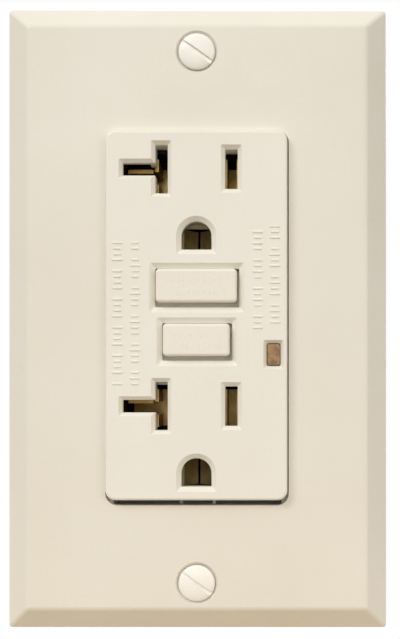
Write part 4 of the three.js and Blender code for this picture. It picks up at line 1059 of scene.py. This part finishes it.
mountingStrap()
for label, side in (("upper", 1), ("lower", -1)):
    groundClip(f"groundClip{label.title()}", f"ground_clip_{label}")
    boxScrew(side, label)
    boxWasher(label)
for label, side in (("line_hot", 1), ("load_hot", 1), ("line_neutral", -1), ("load_neutral", -1)):
    metal = ("brass_terminal", finishes["brass"]) if side > 0 else ("nickel_terminal", finishes["nickel"])
    terminalScrew(f"{label}_screw", side, f"{label}_terminal_screw", *metal)
    terminalClamp(f"{label}_clamp", side, f"{label}_clamp_plate", *metal)
groundScrew()
for number in (1, 2, 3, 4):
    assemblyScrew(number)
backHousing()
print("strap, screws and housing ready")

# CAD nodes that keep their shape get their real finish

nodeFinish = {
    "zincPlate": ["reset_pin", "reset_spring", "solenoid_frame", "solenoid_plunger", "plunger_spring",
                  "latch_slide"],
    "brass": ["hot_face_contact", "neutral_face_contact", "test_blade", "line_hot_conductor",
              "line_neutral_conductor", "load_hot_terminal", "load_neutral_terminal", "hot_moving_arm",
              "neutral_moving_arm"],
    "separatorGrey": ["separator"],
    "boardGreen": ["circuit_board"],
    "blackNylon": ["control_chip", "thyristor", "sensor_housing", "solenoid_bobbin", "contact_lifter"],
    "copper": ["fault_sensor_ring", "neutral_sensor_ring", "solenoid_coil"],
    "blueEpoxy": ["varistor", "test_resistor"],
    "brownEpoxy": ["capacitor"],
    "amberLens": ["indicator_led"],
}
for finish, nodes in nodeFinish.items():
    for node in nodes:
        piece = frame["nodes"][node]
        for slot in piece.material_slots:
            slot.material = finishes[finish]

# Camera, floor and light

view = {"sensor": 36, "distance": 240, "aside": 11.5, "below": 14, "acrossMm": 119.15, "centreX": 0.35,
        "centreZ": -0.05}


def camera():
    bpy.ops.object.camera_add(location=(view["aside"] * mm, -view["distance"] * mm, -view["below"] * mm),
                              rotation=(math.pi / 2, 0, 0))
    cam = bpy.context.object
    cam.data.lens = view["sensor"] * view["distance"] / view["acrossMm"]
    cam.data.sensor_width = view["sensor"]
    cam.data.shift_x = (view["centreX"] - view["aside"]) / view["acrossMm"]
    cam.data.shift_y = (view["centreZ"] + view["below"]) / view["acrossMm"]
    cam.data.clip_start = 0.01
    bpy.context.scene.camera = cam


def seenDirectly(tree):
    # 1 for rays that the camera, a mirror or glass sends out
    path = addNode(tree, "ShaderNodeLightPath")
    total = path.outputs["Is Camera Ray"]
    for kind in ("Is Glossy Ray", "Is Transmission Ray"):
        node = addNode(tree, "ShaderNodeMath", operation="MAXIMUM")
        tree.links.new(total, node.inputs[0])
        tree.links.new(path.outputs[kind], node.inputs[1])
        total = node.outputs[0]
    return total


tableTop = {"radius": 0.118, "height": -0.085, "rough": 0.9, "bounce": "#B7A27E", "seen": "#FBFAF8"}


def floor():
    s = tableTop
    bpy.ops.object.select_all(action="DESELECT")
    bpy.ops.mesh.primitive_circle_add(vertices=96, radius=s["radius"], fill_type="NGON",
                                      location=(0, 0, s["height"]))
    ground = bpy.context.object
    ground.name = "floor"
    material, tree, shader, _ = startMaterial("white_table", s["rough"])
    mix = addNode(tree, "ShaderNodeMix", data_type="RGBA")
    mix.inputs["A"].default_value = colour(s["bounce"])
    mix.inputs["B"].default_value = colour(s["seen"])
    tree.links.new(seenDirectly(tree), mix.inputs["Factor"])
    tree.links.new(mix.outputs["Result"], shader.inputs["Base Color"])
    # its underside is as white as the background
    pale = addNode(tree, "ShaderNodeEmission", Color=(1, 1, 1, 1), Strength=1.0)
    under = addNode(tree, "ShaderNodeNewGeometry").outputs["Backfacing"]
    both = addNode(tree, "ShaderNodeMixShader")
    for i, source in enumerate((under, shader.outputs["BSDF"], pale.outputs["Emission"])):
        tree.links.new(source, both.inputs[i])
    tree.links.new(both.outputs[0], tree.nodes["Material Output"].inputs["Surface"])
    ground.data.materials.append(material)


skyLook = {"below": "#6E5024", "above": "#FFFFFF", "from": 0.25, "to": 0.53, "strength": 0.66}


def world():
    # soft light, white from above and warm from below; rays that show the background see plain white
    s = skyLook
    sky = bpy.data.worlds.new("studio")
    bpy.context.scene.world = sky
    sky.use_nodes = True
    tree = sky.node_tree
    tree.nodes.clear()
    seen = seenDirectly(tree)
    place = addNode(tree, "ShaderNodeTexCoord").outputs["Generated"]
    parts = addNode(tree, "ShaderNodeSeparateXYZ", links={"Vector": place})
    height = addNode(tree, "ShaderNodeMapRange", links={"Value": parts.outputs["Z"]})
    height.inputs["From Min"].default_value = -1
    height.inputs["From Max"].default_value = 1
    ramp = blendColours(tree, height.outputs["Result"], s["below"], s["above"], s["from"], s["to"])
    soft = addNode(tree, "ShaderNodeBackground", links={"Color": ramp}, Strength=s["strength"])
    white = addNode(tree, "ShaderNodeBackground", Color=(1, 1, 1, 1), Strength=1.0)
    mix = addNode(tree, "ShaderNodeMixShader")
    tree.links.new(seen, mix.inputs[0])
    tree.links.new(soft.outputs[0], mix.inputs[1])
    tree.links.new(white.outputs[0], mix.inputs[2])
    out = addNode(tree, "ShaderNodeOutputWorld")
    tree.links.new(mix.outputs[0], out.inputs["Surface"])


lamps = {
    "key": {"place": (-0.62, -0.66, 0.70), "size": 0.35, "watts": 4.9, "tint": "#FFFDFA"},
    "fill": {"place": (0.8, -0.85, 0.12), "size": 0.6, "watts": 2.3, "tint": "#FFF9EC"},
    "front": {"place": (-0.05, -1.2, 0.3), "size": 0.2, "watts": 1.2, "tint": "#FFFFFF"},
    "back": {"place": (0.3, 0.9, 0.6), "size": 0.8, "watts": 6.0, "tint": "#FFFFFF"},
}


def light(name):
    s = lamps[name]
    place = Vector(s["place"])
    bpy.ops.object.light_add(type="AREA", location=place)
    lamp = bpy.context.object
    lamp.name = name
    lamp.rotation_euler = (-place).to_track_quat("-Z", "Y").to_euler()
    lamp.data.size = s["size"]
    lamp.data.energy = s["watts"]
    lamp.data.color = colour(s["tint"])[:3]


camera()
floor()
world()
for name in lamps:
    light(name)
bpy.context.scene.view_settings.view_transform = "Standard"
print("camera, floor and light ready")
